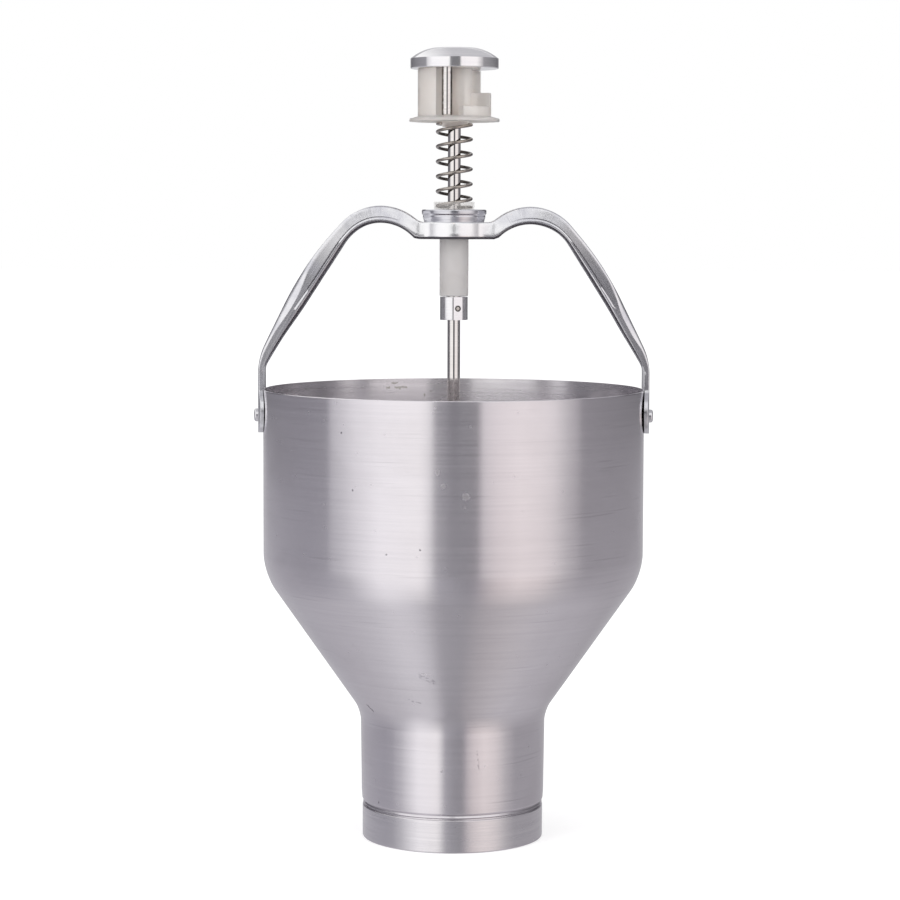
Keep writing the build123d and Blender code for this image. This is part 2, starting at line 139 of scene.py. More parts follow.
world = bpy.data.worlds.new("white_world")
world.use_nodes = True
scene.world = world
tree = world.node_tree
sky = tree.nodes["Background"]
sky.inputs["Color"].default_value = (1, 1, 1, 1)
level = add_node(
    tree, "ShaderNodeMapRange", {"To Min": soft_level, "To Max": 1.0}, {"Value": seen_white(tree)}
)
join(sky, {"Strength": level})
print("world nodes:", len(tree.nodes))

# %% Floor
# white paper: it keeps the object's shadow, and its own glow lifts it to the white of the background
paper_glow = 0.36


def empty_paint(name):
    """A material whose tree is still empty."""
    paint = bpy.data.materials.new(name)
    paint.use_nodes = True
    paint.node_tree.nodes.clear()
    return paint


bpy.ops.object.select_all(action="DESELECT")
bpy.ops.mesh.primitive_plane_add(size=30)
floor = bpy.context.object
floor.name = "floor"
paper = empty_paint("white_paper")
tree = paper.node_tree
lift = add_node(tree, "ShaderNodeMath", {"operation": "MULTIPLY", 1: paper_glow}, {0: seen_white(tree)})
glow = add_node(tree, "ShaderNodeEmission", {"Color": (1, 1, 1, 1)}, {"Strength": lift})
sheet = add_node(tree, "ShaderNodeBsdfDiffuse", {"Color": tone("#f4f4f4")})
both = add_node(tree, "ShaderNodeAddShader", None, {0: sheet, 1: glow})
add_node(tree, "ShaderNodeOutputMaterial", None, {"Surface": both})
floor.data.materials.append(paper)
floor.visible_glossy = False
print("floor", floor.dimensions.x, "m")

# %% Tones of the room
# degrees round the object from the camera, positive to the right, with the tone that stands there:
# near the table the soft boxes fade out at their sides
low_tones = [
    (-180, "#c3c3c6"),
    (-155, "#b9b8bd"),
    (-128, "#aeadb3"),
    (-95, "#a3a2a9"),
    (-80, "#a7a6ac"),
    (-68, "#b7b6bb"),
    (-57, "#d9d8db"),
    (-44, "#fbfafb"),
    (-19, "#fffdfc"),
    (-9, "#b0afb4"),
    (8, "#96959a"),
    (13, "#9d9a9f"),
    (26, "#d8cfce"),
    (40, "#eee5e2"),
    (53, "#e1d9d7"),
    (71, "#b6b3b5"),
    (86, "#a4a2a6"),
    (115, "#a5a3a7"),
    (150, "#aba9ad"),
    (180, "#bcbcbf"),
]
# higher up their edges are crisp
high_tones = [
    (-180, "#d2d2d5"),
    (-165, "#98979b"),
    (-150, "#504f55"),
    (-120, "#6c6b71"),
    (-79, "#828187"),
    (-76.5, "#d4d3d6"),
    (-60, "#fdfcfd"),
    (-13, "#fffefd"),
    (-10.5, "#58575d"),
    (14, "#4c4b4f"),
    (17, "#f6f2f3"),
    (60, "#fbf7f7"),
    (78, "#b4b1b3"),
    (81, "#848286"),
    (120, "#6c6b6f"),
    (150, "#504f53"),
    (165, "#98979b"),
    (180, "#d2d2d5"),
]
# the table close under the object gives softer tones: light to the left, dark in the middle
near_tones = [
    (-180, "#bfbdc1"),
    (-110, "#c4c2c6"),
    (-75, "#c8c7cb"),
    (-52, "#d8d7da"),
    (-36, "#cbcace"),
    (-17, "#9f9ea2"),
    (0, "#a09fa3"),
    (12, "#9d9ca0"),
    (30, "#aaa7a9"),
    (45, "#b0adaf"),
    (60, "#b8b5b7"),
    (90, "#c3c1c5"),
    (180, "#bfbdc1"),
]
print("room tones:", len(low_tones), "low,", len(high_tones), "high,", len(near_tones), "near")

# %% Cards for reflections
room_glow = 1.04
card_glow = 1.0


def show_in_reflections(card, paint, colour, strength):
    """Let a studio card glow in the colour of a node, for reflections only."""
    light = add_node(paint.node_tree, "ShaderNodeEmission", {"Strength": strength}, {"Color": colour})
    add_node(paint.node_tree, "ShaderNodeOutputMaterial", None, {"Surface": light})
    card.data.materials.append(paint)
    card.visible_camera = False
    card.visible_diffuse = False
    card.visible_shadow = False
    card.visible_transmission = False
    print(card.name, "paint nodes:", len(paint.node_tree.nodes))


def paint_round(card, name, first_tones, second_tones, measure, start, end):
    """Tones by the angle round the object, the first changing to the second over a height or distance."""
    paint = empty_paint(name)
    tree = paint.node_tree
    place = add_node(tree, "ShaderNodeTexCoord").outputs["Object"]
    split = add_node(tree, "ShaderNodeSeparateXYZ", None, {"Vector": place}).outputs
    front = add_node(tree, "ShaderNodeMath", {"operation": "MULTIPLY", 1: -1.0}, {0: split["Y"]})
    angle = add_node(tree, "ShaderNodeMath", {"operation": "ARCTAN2"}, {0: split["X"], 1: front})
    share = add_node(
        tree, "ShaderNodeMapRange", {"From Min": -math.pi, "From Max": math.pi}, {"Value": angle}
    )
    ramps = []
    for tones in (first_tones, second_tones):
        ramp = add_node(tree, "ShaderNodeValToRGB", None, {"Fac": share})
        stops = ramp.color_ramp.elements
        while len(stops) > 1:
            stops.remove(stops[-1])
        stops[0].position = 0.0
        stops[0].color = tone(tones[0][1])
        for degrees, code in tones[1:]:
            stops.new(degrees / 360 + 0.5).color = tone(code)
        ramps.append(ramp)
    across = add_node(tree, "ShaderNodeCombineXYZ", None, {"X": split["X"], "Y": split["Y"]})
    away = add_node(tree, "ShaderNodeVectorMath", {"operation": "LENGTH"}, {0: across})
    measures = {"height": split["Z"], "distance": away}
    step = add_node(
        tree, "ShaderNodeMapRange", {"From Min": start, "From Max": end}, {"Value": measures[measure]}
    )
    mixed = add_node(tree, "ShaderNodeMix", {"data_type": "RGBA"}, {0: step, 6: ramps[0], 7: ramps[1]})
    show_in_reflections(card, paint, mixed, room_glow)


def paint_across(card, name, first, second, start, end, both_ways):
    """One tone changing to another along X, or both ways from the middle."""
    paint = empty_paint(name)
    tree = paint.node_tree
    place = add_node(tree, "ShaderNodeTexCoord").outputs["Object"]
    across = add_node(tree, "ShaderNodeSeparateXYZ", None, {"Vector": place}).outputs["X"]
    if both_ways:
        across = add_node(tree, "ShaderNodeMath", {"operation": "ABSOLUTE"}, {0: across})
    share = add_node(tree, "ShaderNodeMapRange", {"From Min": start, "From Max": end}, {"Value": across})
    shade = add_node(
        tree, "ShaderNodeMix", {"data_type": "RGBA", 6: tone(first), 7: tone(second)}, {0: share}
    )
    show_in_reflections(card, paint, shade, card_glow)


# %% Room wall and table
wall_r = 2.2
wall_top = 1.35
table_z = -0.35
bpy.ops.object.select_all(action="DESELECT")
bpy.ops.mesh.primitive_cylinder_add(
    vertices=96,
    radius=wall_r,
    depth=wall_top - table_z,
    end_fill_type="NOTHING",
    location=(0, 0, (wall_top + table_z) / 2),
)
wall = bpy.context.object
wall.name = "room_wall"
bpy.ops.object.transform_apply(location=True, rotation=False, scale=False)
paint_round(wall, "room_tones", low_tones, high_tones, "height", start=0.02, end=0.08)
bpy.ops.object.select_all(action="DESELECT")
bpy.ops.mesh.primitive_circle_add(vertices=96, radius=wall_r, fill_type="NGON", location=(0, 0, table_z))
table = bpy.context.object
table.name = "table_card"
bpy.ops.object.transform_apply(location=True, rotation=False, scale=False)
paint_round(table, "table_tones", near_tones, low_tones, "distance", start=0.25, end=0.9)

# %% Ceiling and slit
# the ceiling is white over the left of the object and grey over its right
bpy.ops.object.select_all(action="DESELECT")
bpy.ops.mesh.primitive_plane_add(size=3.4, location=(0.9, 0.9, 1.7))
ceiling = bpy.context.object
ceiling.name = "ceiling_card"
bpy.ops.object.transform_apply(location=True, rotation=False, scale=False)
paint_across(ceiling, "grey_card", "#ffffff", "#c0bfc3", start=-0.75, end=-0.05, both_ways=False)
# the soft boxes nearly meet above the camera, with a slit between them
bpy.ops.object.select_all(action="DESELECT")
bpy.ops.mesh.primitive_plane_add(size=1, location=(0, -2.0, 1.1), rotation=(math.radians(90), 0, 0))
top = bpy.context.object
top.name = "top_card"
bpy.ops.transform.resize(value=(1.1, 1, 0.8))
bpy.ops.object.transform_apply(location=True, rotation=True, scale=True)
paint_across(top, "slit_card", "#56555a", "#ffffff", start=0.09, end=0.13, both_ways=True)

# %% Soft boxes
# the lamps light what isn't metal; the metal sees the bright bands of the wall in their place
def soft_box(name, place, aim, width, height, power):
    """A rectangular lamp that faces a point."""
    bpy.ops.object.select_all(action="DESELECT")
    bpy.ops.object.light_add(type="AREA", location=place)
    lamp = bpy.context.object
    lamp.name = name
    lamp.data.shape = "RECTANGLE"
    lamp.data.size = width
    lamp.data.size_y = height
    lamp.data.energy = power
    lamp.rotation_euler = (Vector(aim) - Vector(place)).to_track_quat("-Z", "Y").to_euler()
    lamp.visible_camera = False
    lamp.visible_glossy = False
    print(name, "at", place, "with", power, "W")


hopper_middle = (0, 0, 0.2)
soft_box("left_box", (-1.5, -1.4, 1.1), hopper_middle, width=1.2, height=1.8, power=11.5)
soft_box("right_box", (1.5, -1.6, 1.0), hopper_middle, width=0.9, height=1.6, power=9)

# %% [markdown]
# ## Turned and spun shapes
# A hopper is spun from a flat disc over a former, and a ring is turned on a lathe, so both are made the
# same way here: a circle is extruded from ring to ring along the outline, and the rings where the metal
# rolls over a corner are bevelled to the corner's radius. A spin of a drawn outline would do as well, but
# the rings can be picked by their radius and height afterwards, which the bevels need.

# %% Lathe helpers
def pick_edges(piece, test):
    """In edit mode, select the edges whose two ends pass a test of their place in mm."""
    bpy.ops.mesh.select_mode(type="EDGE")
    bpy.ops.mesh.select_all(action="DESELECT")
    mesh = bmesh.from_edit_mesh(piece.data)
    for edge in mesh.edges:
        if all(test(end.co / MM) for end in edge.verts):
            edge.select_set(True)
    bmesh.update_edit_mesh(piece.data)


def round_ring(piece, before, ring, after):
    """Bevel one ring of a turned piece to the radius that the outline gives it."""
    radius, height, rounding = ring
    here = Vector((radius, height))
    turn = math.pi - (Vector(before[:2]) - here).angle(Vector(after[:2]) - here)
    pick_edges(piece, lambda co: abs(math.hypot(co.x, co.y) - radius) < 0.01 and abs(co.z - height) < 0.01)
    bpy.ops.mesh.bevel(
        offset=rounding * math.tan(turn / 2) * MM,
        segments=max(3, round(math.degrees(turn) / 4)),
        profile=0.5,
        affect="EDGES",
    )


def turned(name, outline, around=192):
    """Turn a closed ring of metal round Z from an outline of (radius, height, rounding) in mm."""
    bpy.ops.object.select_all(action="DESELECT")
    radius, height = outline[0][:2]
    bpy.ops.mesh.primitive_circle_add(vertices=around, radius=radius * MM)
    piece = bpy.context.object
    piece.name = piece.data.name = name
    bpy.ops.object.mode_set(mode="EDIT")
    bpy.ops.mesh.select_all(action="SELECT")
    bpy.ops.transform.translate(value=(0, 0, height * MM))
    for ring in outline[1:] + outline[:1]:
        bpy.ops.mesh.extrude_region_move(TRANSFORM_OT_translate={"value": (0, 0, (ring[1] - height) * MM)})
        grow = ring[0] / radius
        bpy.ops.transform.resize(value=(grow, grow, 1), center_override=(0, 0, 0))
        radius, height = ring[:2]
    bpy.ops.mesh.select_all(action="SELECT")
    bpy.ops.mesh.remove_doubles(threshold=0.001 * MM)
    bpy.ops.mesh.normals_make_consistent(inside=False)
    for before, ring, after in zip(outline[-1:] + outline, outline, outline[1:] + outline[:1]):
        if len(ring) > 2:
            round_ring(piece, before, ring, after)
    bpy.ops.object.mode_set(mode="OBJECT")
    bpy.ops.object.shade_smooth_by_angle(angle=math.radians(30))
    print(name, "faces:", len(piece.data.polygons))
    return piece


# %% Hopper
lip_z = 15.6
cone_low_z = 60.8
cone_high_z = 126.88
rim_z = 213.68
neck_r = 43.9
barrel_r = 90
wall_mm = 1.5
# the neck was rolled in over the outlet ring, which left a groove and a bead at its foot
groove_r = 42.3
groove_z = lip_z + 1.95
bead_z = lip_z + 1.0
foot_z = lip_z + 0.5
# the inner face of a bent sheet turns a little higher than the outer one
inner_up = 0.47
hopper_outside = [
    (42.1, foot_z),
    (42.8, bead_z, 0.2),
    (groove_r, groove_z, 0.15),
    (43.15, lip_z + 3.05, 0.5),
    (43.42, lip_z + 7),
    (neck_r, cone_low_z, 17),
    (barrel_r, cone_high_z, 29),
    (barrel_r, rim_z, 0.5),
]
hopper_inside = [
    (89.42, rim_z, 0.05),
    (88.45, rim_z - 12),
    (barrel_r - wall_mm, rim_z - 15),
    (barrel_r - wall_mm, cone_high_z + inner_up, 27.5),
    (neck_r - wall_mm, cone_low_z + inner_up, 18.5),
    (41.93, foot_z),
]
hopper = turned("spun_hopper", hopper_outside + hopper_inside)


def two_slots(piece, takes_second):
    """Two places for finishes on a piece; faces that pass a test take the second one."""
    piece.data.materials.append(None)
    piece.data.materials.append(None)
    for face in piece.data.polygons:
        face.material_index = 1 if takes_second(face) else 0


def faces_in(face):
    """Whether a face of the hopper looks at its axis, above the outlet ring."""
    looks_in = face.normal.x * face.center.x + face.normal.y * face.center.y < 0
    return looks_in and face.center.z > lip_z * MM


two_slots(hopper, faces_in)
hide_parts("hopper")
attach(hopper, "frame")

# %% [markdown]
# ## The outlet ring and the guide disc
# Both are turned from bar, so the same helper makes them. The outlet ring's lip shows below the neck, and
# its liner goes up inside. The guide disc sits on the strap's boss and has a shallow cove round its side.
# Bevels on a plain ring would do for the edges, but the cove needs rings of its own in the outline.

# %% Outlet ring
outlet_r = 42.95
liner_r = 41.85
liner_top_z = 49.9
outlet = turned("turned_outlet", [
    (39.0, 0.5),
    (39.5, 0),
    (outlet_r, 0, 0.8),
    (outlet_r, lip_z - 0.1, 0.4),
    (liner_r, lip_z - 0.1),
    (liner_r, liner_top_z, 0.3),
    (41.0, liner_top_z),
    (39.0, 47.9),
])
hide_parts("outlet_ring")
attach(outlet, "frame")

# %% Guide disc
boss_z = 292.38
disc_top_z = boss_z + 5.9
bush_hole_r = 6.9
cup_hole_r = 9.6
disc = turned("turned_disc", [
    (bush_hole_r, boss_z),
    (14.1, boss_z, 0.2),
    (14.75, boss_z + 2.4, 0.5),
    (14.65, boss_z + 3.1, 0.5),
    (15.2, boss_z + 3.9, 0.5),
    (15.28, disc_top_z, 0.7),
    (cup_hole_r, disc_top_z),
    (cup_hole_r, boss_z + 3),
    (bush_hole_r, boss_z + 3),
], 128)
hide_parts("guide_disc")
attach(disc, "frame")

# %% [markdown]
# ## The guide bush
# The bush is moulded nylon: a sleeve that guides the rod, and a thin cup on top that holds the spring's
# foot. The cup's wall is only half a millimetre, so the last coil shows through it. It is made as a ring
# of its own, so that it can have a clearer finish than the thick sleeve.

# %% Bush sleeve and spring cup
sleeve_low_z = 257.58
flange_z = 295.38
cup_z = 298.38
bush_bore_r = 3.08
sleeve = turned("bush_sleeve", [
    (bush_bore_r, sleeve_low_z),
    (6.8, sleeve_low_z, 0.5),
    (6.8, flange_z),
    (9.5, flange_z, 0.3),
    (9.5, cup_z - 0.05),
    (bush_bore_r, cup_z - 0.05),
], 96)
cup = turned("spring_cup", [
    (9.0, cup_z),
    (9.5, cup_z),
    (9.7, cup_z + 3.5, 0.2),
    (9.2, cup_z + 3.5, 0.2),
], 96)
for piece in (sleeve, cup):
    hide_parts("guide_bush")
    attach(piece, "frame")

# %% [markdown]
# ## The stop collar and its screw
# A turned collar under the bush stops the plunger at rest. A grub screw holds it on the rod, and the
# collar has a flat filed for it. The flat is cut by a bisect, which also fills the cut, and the hole is
# drilled with a Boolean, because that is exact where an inset would follow the faces. The screw is turned
# upright at the origin and then laid on its side.

# %% Drill
drill_reach = 10


def drilled(piece, radius, place, turn=(0, 0, 0)):
    """Drill a hole into a piece; radius and place are in mm, and the drill's middle is at the place."""
    bpy.ops.object.select_all(action="DESELECT")
    bpy.ops.mesh.primitive_cylinder_add(
        vertices=64,
        radius=radius * MM,
        depth=2 * drill_reach * MM,
        location=Vector(place) * MM,
        rotation=turn,
    )
    drill = bpy.context.object
    bpy.ops.object.select_all(action="DESELECT")
    piece.select_set(True)
    bpy.context.view_layer.objects.active = piece
    cut = piece.modifiers.new("hole", "BOOLEAN")
    cut.object = drill
    cut.operation = "DIFFERENCE"
    bpy.ops.object.modifier_apply(modifier="hole")
    bpy.data.objects.remove(drill)
    print(piece.name, "faces after the hole:", len(piece.data.polygons))


# %% Stop collar
collar_mid_z = 251.83
collar_half = 5.45
collar_r = 6.55
collar_bore_r = 3.06
screw_angle = math.radians(-72)
flat_r = 6.2
screw_hole_r = 1.46
hole_start_r = 3
collar = turned("set_collar", [
    (collar_bore_r, collar_mid_z - collar_half),
    (collar_r, collar_mid_z - collar_half, 0.15),
    (collar_r, collar_mid_z + collar_half, 0.15),
    (collar_bore_r, collar_mid_z + collar_half),
], 96)
facing = Vector((math.cos(screw_angle), math.sin(screw_angle), 0))
collar_mid = Vector((0, 0, collar_mid_z))
bpy.ops.object.mode_set(mode="EDIT")
bpy.ops.mesh.select_all(action="SELECT")
bpy.ops.mesh.bisect(
    plane_co=facing * flat_r * MM, plane_no=facing, use_fill=True, clear_outer=True, threshold=0.0001 * MM
)
bpy.ops.object.mode_set(mode="OBJECT")
hole_mid = facing * (hole_start_r + drill_reach) + collar_mid
drilled(collar, screw_hole_r, hole_mid, (0, math.radians(90), screw_angle))
bpy.ops.object.shade_smooth_by_angle(angle=math.radians(12))
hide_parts("stop_collar")
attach(collar, "plunger")

# %% Grub screw
screw_r = 1.43
point_r = 0.85
point_low = 6
screw = turned("grub_screw", [
    (0.02, 3.3),
    (screw_r, 3.3),
    (screw_r, flat_r, 0.1),
    (1.25, flat_r),
    (1.22, 5.5),
    (0.9, 5.5),
    (point_r, flat_r, 0.08),
    (0.02, flat_r),
], 48)


def on_point(face):
    """Whether a face is on the screw's end, which takes a brighter finish as a painted highlight, where the
    rest of the screw is painted dark for the shade of the hole round it.
    """
    near_axis = math.hypot(face.center.x, face.center.y) < (point_r + 0.01) * MM
    return near_axis and face.center.z > point_low * MM


two_slots(screw, on_point)
lay_down = Matrix.Rotation(screw_angle, 4, "Z") @ Matrix.Rotation(math.radians(90), 4, "Y")
screw.matrix_world = Matrix.Translation(collar_mid * MM) @ lay_down
bpy.ops.object.transform_apply(location=True, rotation=True, scale=True)
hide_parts("collar_screw")
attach(screw, "plunger")

# %% [markdown]
# ## The return spring
# The spring is one wire wound round the rod, with a flat turn at each end that sits square on its seat. A
# curve with a round bevel is the natural way: its points climb a helix, slowly over the flat turns and then
# at the full pitch. When the knob is pressed the spring shortens towards the cup.

# %% Spring wire
wire_r = 0.75
coil_r = 8.0
coil_turns = 6.75
flat_turns = 0.4
ramp_turns = 0.35
coil_low = 298.633
coil_high = 339.133
coil_start = math.radians(-49)
points_per_turn = 16
coil_rise = coil_high - coil_low - 2 * wire_r
pitch = coil_rise / (coil_turns - 2 * flat_turns - ramp_turns)


def climbed(turns):
    """Height gained from a flat end, in mm."""
    ramp = min(max(turns - flat_turns, 0), ramp_turns)
    return pitch * (ramp * ramp / (2 * ramp_turns) + max(turns - flat_turns - ramp_turns, 0))


bpy.ops.object.select_all(action="DESELECT")
bpy.ops.curve.primitive_nurbs_path_add()
spring = bpy.context.object
spring.name = "wound_spring"
strand = spring.data.splines[0]
count = round(coil_turns * points_per_turn) + 1
strand.points.add(count - len(strand.points))
# a NURBS wire runs inside its points, so these stand a little further out
out_r = coil_r * 3 / (2 + math.cos(2 * math.pi / points_per_turn))
for k, point in enumerate(strand.points):
    turns = coil_turns * k / (count - 1)
    up = climbed(turns) if turns < coil_turns / 2 else coil_rise - climbed(coil_turns - turns)
    angle = coil_start + 2 * math.pi * turns
    point.co = (out_r * math.cos(angle) * MM, out_r * math.sin(angle) * MM, (coil_low + wire_r + up) * MM, 1)
strand.order_u = 4
strand.use_endpoint_u = True
strand.resolution_u = 4
spring.data.bevel_depth = wire_r * MM
spring.data.bevel_resolution = 6
spring.data.use_fill_caps = True
bpy.ops.object.convert(target="MESH")
spring = bpy.context.object
spring.data.name = "wound_spring"
bpy.ops.object.shade_smooth_by_angle(angle=math.radians(40))
print(spring.name, "faces:", len(spring.data.polygons), "pitch", round(pitch, 2), "mm")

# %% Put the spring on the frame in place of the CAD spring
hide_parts("return_spring")
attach(spring, "frame")
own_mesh(spring)

# %% [markdown]
# ## The strap handle
# The handle is pressed from one strip: a channel whose flanges are deepest along the arms, widened to a
# round boss in the middle, and flattened into ears that are rolled to the barrel. Here the strip starts
# as a flat grid whose long direction runs from ear to ear, and whose short direction goes once round the
# section. Each of its points is then bent to its place: along a side view with rounded corners, and round
# a section that changes along the way.

# %% Side view of the strap
strap_edge_z = 284.4
face_x = 92.45
strip_t = 2.4
ear_z = rim_z - 10.5
ear_round_r = 9.9
# the strap was riveted on a little askew: its left and right boss corners and crests differ by 1 or 2 mm;
# each pair is for the outer face and for the free edge
boss_x = {-1: (16.0, 18.3), 1: (17.7, 20.2)}
crest_x = {-1: (37.6, 38.1), 1: (39.5, 39.5)}
crest_z = (boss_z + 16.4, boss_z + 11.8)


def bent_line(corners):
    """Points along a line of (x, z, radius) corners in mm, with the corners rounded."""
    line = [Vector(corners[0][:2])]
    for before, corner, after in zip(corners, corners[1:], corners[2:]):
        middle = Vector(corner[:2])
        radius = corner[2]
        back = (Vector(before[:2]) - middle).normalized()
        on = (Vector(after[:2]) - middle).normalized()
        half = back.angle(on) / 2
        centre = middle + (back + on).normalized() * radius / math.sin(half)
        start = middle + back * radius / math.tan(half) - centre
        sweep = math.pi - 2 * half
        if start.x * back.y - start.y * back.x > 0:
            sweep = -sweep
        steps = max(4, round(abs(sweep) * radius))
        for k in range(steps + 1):
            line.append(centre + Matrix.Rotation(sweep * k / steps, 2) @ start)
    return line + [Vector(corners[-1][:2])]


# corners of the outer face: the boss, the crest, the bulge of the arm, the bend above the rim and the end
# of the ear
outer_lines = {side: bent_line([
    (0, boss_z, 0),
    (boss_x[side][0], boss_z, 6),
    (crest_x[side][0], crest_z[0], 25),
    (70.8, 271.9, 150),
    (face_x, rim_z + 13.8, 31),
    (face_x, ear_z - ear_round_r, 0),
]) for side in (-1, 1)}
inner_lines = {side: bent_line([
    (0, strap_edge_z, 0),
    (boss_x[side][1], strap_edge_z, 3),
    (crest_x[side][1], crest_z[1], 21),
    (face_x - strip_t, rim_z + 10, 7),
    (face_x - strip_t, ear_z - 30, 0),
]) for side in (-1, 1)}
half_lengths = {}
for side, line in outer_lines.items():
    half_lengths[side] = sum((b - a).length for a, b in zip(line, line[1:]))
print("halves of the strip:", [round(length, 1) for length in half_lengths.values()], "mm")

# %% Places on the side view
def along_strap(side, distance):
    """Place on the outer line after so many mm from the middle."""
    line = outer_lines[side]
    for start, end in zip(line, line[1:]):
        run = (end - start).length
        if distance <= run:
            return start + (end - start) * distance / run
        distance -= run
    return line[-1]


def depth_below(side, place, inward):
    """How far the free edge lies below a place of the outer face, in mm."""
    best = 40.0
    line = inner_lines[side]
    for start, end in zip(line, line[1:]):
        edge = end - start
        cross = inward.x * edge.y - inward.y * edge.x
        if abs(cross) < 1e-9:
            continue
        gap = start - place
        far = (gap.x * edge.y - gap.y * edge.x) / cross
        share = (gap.x * inward.y - gap.y * inward.x) / cross
        if -0.001 <= share <= 1.001 and far > 0:
            best = min(best, far)
    return best


print("depth at the boss:", round(depth_below(1, along_strap(1, 1), Vector((0, -1))), 2), "mm")

# %% Width of the strap
ear_top_z = rim_z + 20
strap_half_w = 10.5
boss_r = 16.0
ear_flat_w = 7.1


def softer_max(a, b, room):
    """The larger of two values, with a smooth change between them."""
    return (a + b + math.sqrt((a - b) ** 2 + room * room)) / 2


def half_width(x, z):
    """Half of the strip's width at a place of its side view."""
    if z > ear_top_z:
        return softer_max(strap_half_w, math.sqrt(max(boss_r ** 2 - x * x, 0)), 1.2)
    drop = z - ear_z
    round_end = ear_flat_w + math.sqrt(max(ear_round_r ** 2 - drop * drop, 0))
    if drop < 0:
        return round_end
    return softer_max(strap_half_w, round_end - max(drop - ear_round_r, 0), 1.5)


print("half widths, boss and ear:", round(half_width(0, boss_z), 1), round(half_width(0, ear_z), 1), "mm")

# %% Section of the strap
shoulder_slope = 0.38


def section(width, depth, shoulder, lean, fold_r, groove):
    """Half of the channel's closed section, from the middle of its top round to the middle of its underside.

    shoulder is the depth of the sloping shoulder below the top, and lean is the flange's slope below it.
    fold_r is the radius of the fold between top and flange. groove, from 0 to 1, is how far the press marked
    its groove. Fold and lip shrink where the flange is low.
    """
    free = max(depth - strip_t, 0)
    fold = min(fold_r, 0.4 + 0.3 * free)
    lip = min(3.0, 0.55 * free)
    shoulder = min(shoulder, max(depth - lip - 0.5, 0))
    edge = width - shoulder_slope * shoulder - lean * (depth - shoulder)

    def side(n):
        """Half width at a depth below the top."""
        return edge + shoulder_slope * min(n, shoulder) + lean * max(n - shoulder, 0)

    half = [((edge - fold) * k / 4, 0) for k in range(5)]
    for k in range(1, 6):
        t = k / 5
        y = (edge - fold) * (1 - t) ** 2 + edge * 2 * t * (1 - t) + side(fold) * t * t
        half.append((y, fold * t * t))
    low = max(depth - lip, fold)
    turn = min(max(shoulder, fold), low)
    half += [(side(n), n) for n in (fold + (turn - fold) * 0.4, fold + (turn - fold) * 0.8, turn)]
    half += [(side(n), n) for n in (turn + (low - turn) * 0.2, turn + (low - turn) * 0.6, low)]
    # a shallow groove, then the lip that the press turned out along the free edge, and its cut edge,
    # as steps outwards and downwards in shares of the lip
    pressed = [(-0.1 * groove, 0.03 * groove), (-0.1 * groove, 0.16 * groove), (0.03 * groove, 0.3 * groove)]
    cut = [(0.03, 0.45), (-0.02, 0.62), (-0.1, 0.76), (-0.25, 0.9), (-0.5, 1.0)]
    for out, down in pressed + cut:
        n = low + (depth - low) * down
        half.append((side(n) + out * lip, n))
    half.append((width - strip_t, depth))
    half += [(width - strip_t, depth + (strip_t - depth) * k / 2) for k in (1, 2)]
    half += [((width - strip_t) * k / 4, strip_t) for k in (3, 2, 1, 0)]
    return half


loop = len(section(strap_half_w, 9, 0, 0, 1, 1)) * 2 - 2
print("points round the section:", loop)

# %% Flat strip
stations = 2 * round(half_lengths[1])
# rows of the section that take the dark sheared finish: the cut edge itself, and painted shade in the groove
# and on the lip's underside
cut_and_shaded_rows = ((15, 17), (20, 24))
bpy.ops.object.select_all(action="DESELECT")
bpy.ops.mesh.primitive_grid_add(x_subdivisions=stations, y_subdivisions=loop, size=2, calc_uvs=True)
handle = bpy.context.object
handle.name = handle.data.name = "strap_handle"


def in_cut_or_shaded_row(face):
    """Whether a face of the flat strip will lie on the cut edge, or in the groove or on the lip's underside,
    where shade is painted.
    """
    row = (face.center.y + 1) / 2 * loop
    row = min(row, loop - row)
    return any(low < row < high for low, high in cut_and_shaded_rows)


two_slots(handle, in_cut_or_shaded_row)
# V goes by the strip's own width, so that the scratches on it are evenly spaced
girth = [0.0]
flat = section(strap_half_w, 12, 4, 0, 1, 1)
for start, end in zip(flat, flat[1:]):
    girth.append(girth[-1] + math.dist(start, end))
girth += [2 * girth[-1] - run for run in reversed(girth[:-1])]
for corner in handle.data.loops:
    k = round((handle.data.vertices[corner.vertex_index].co.y + 1) / 2 * loop)
    handle.data.uv_layers.active.data[corner.index].uv.y = girth[k] / girth[-1]
print(handle.name, "stations:", stations, "girth:", round(girth[-1], 1), "mm")

# %% Unevenness of the strip
# the ears were rolled by hand: their inner face a little less than the barrel, so that a gap shows behind
# the edges, and their outer face more, because the edges came out thinner; the left one lies closer
ear_rolls = {-1: (1.3, 0.85), 1: (1.0, 0.6)}
# the flange of the left arm is a little deeper than the right one's
deeper = {-1: 0.6, 1: -0.5}
# heights between which the sloping shoulder grows and fades
shoulder_span = {-1: (279, 257, 255, 225), 1: (266, 248, 242, 224)}
shoulder_share = 0.44
# mm from the middle of the strip, between which its uneven depth and the pressed groove grow and fade
uneven_span = (42, 66, 100, 120)
groove_span = (24, 50, 84, 104)
# the flange leans out at the boss; then by how much its lean changes, and between which mm from the middle
boss_lean = 0.13
lean_changes = ((0.23, 12, 24), (-0.25, 30, 58), (-0.11, 58, 105))
roll_start_z = rim_z + 26
roll_full_z = rim_z + 4
# the strip's direction is taken from so many mm before a place to as many after it
feel = 0.6


def blend_in(value, start, stop):
    """0 before start, 1 after stop, smooth between."""
    share = min(max((value - start) / (stop - start), 0), 1)
    return share * share * (3 - 2 * share)


def blend_over(value, grow, grown, fade, gone):
    """0 before grow, 1 from grown to fade, 0 after gone, smooth between."""
    return blend_in(value, grow, grown) * (1 - blend_in(value, fade, gone))


print("groove at 30 mm from the middle:", round(blend_over(30, *groove_span), 2))

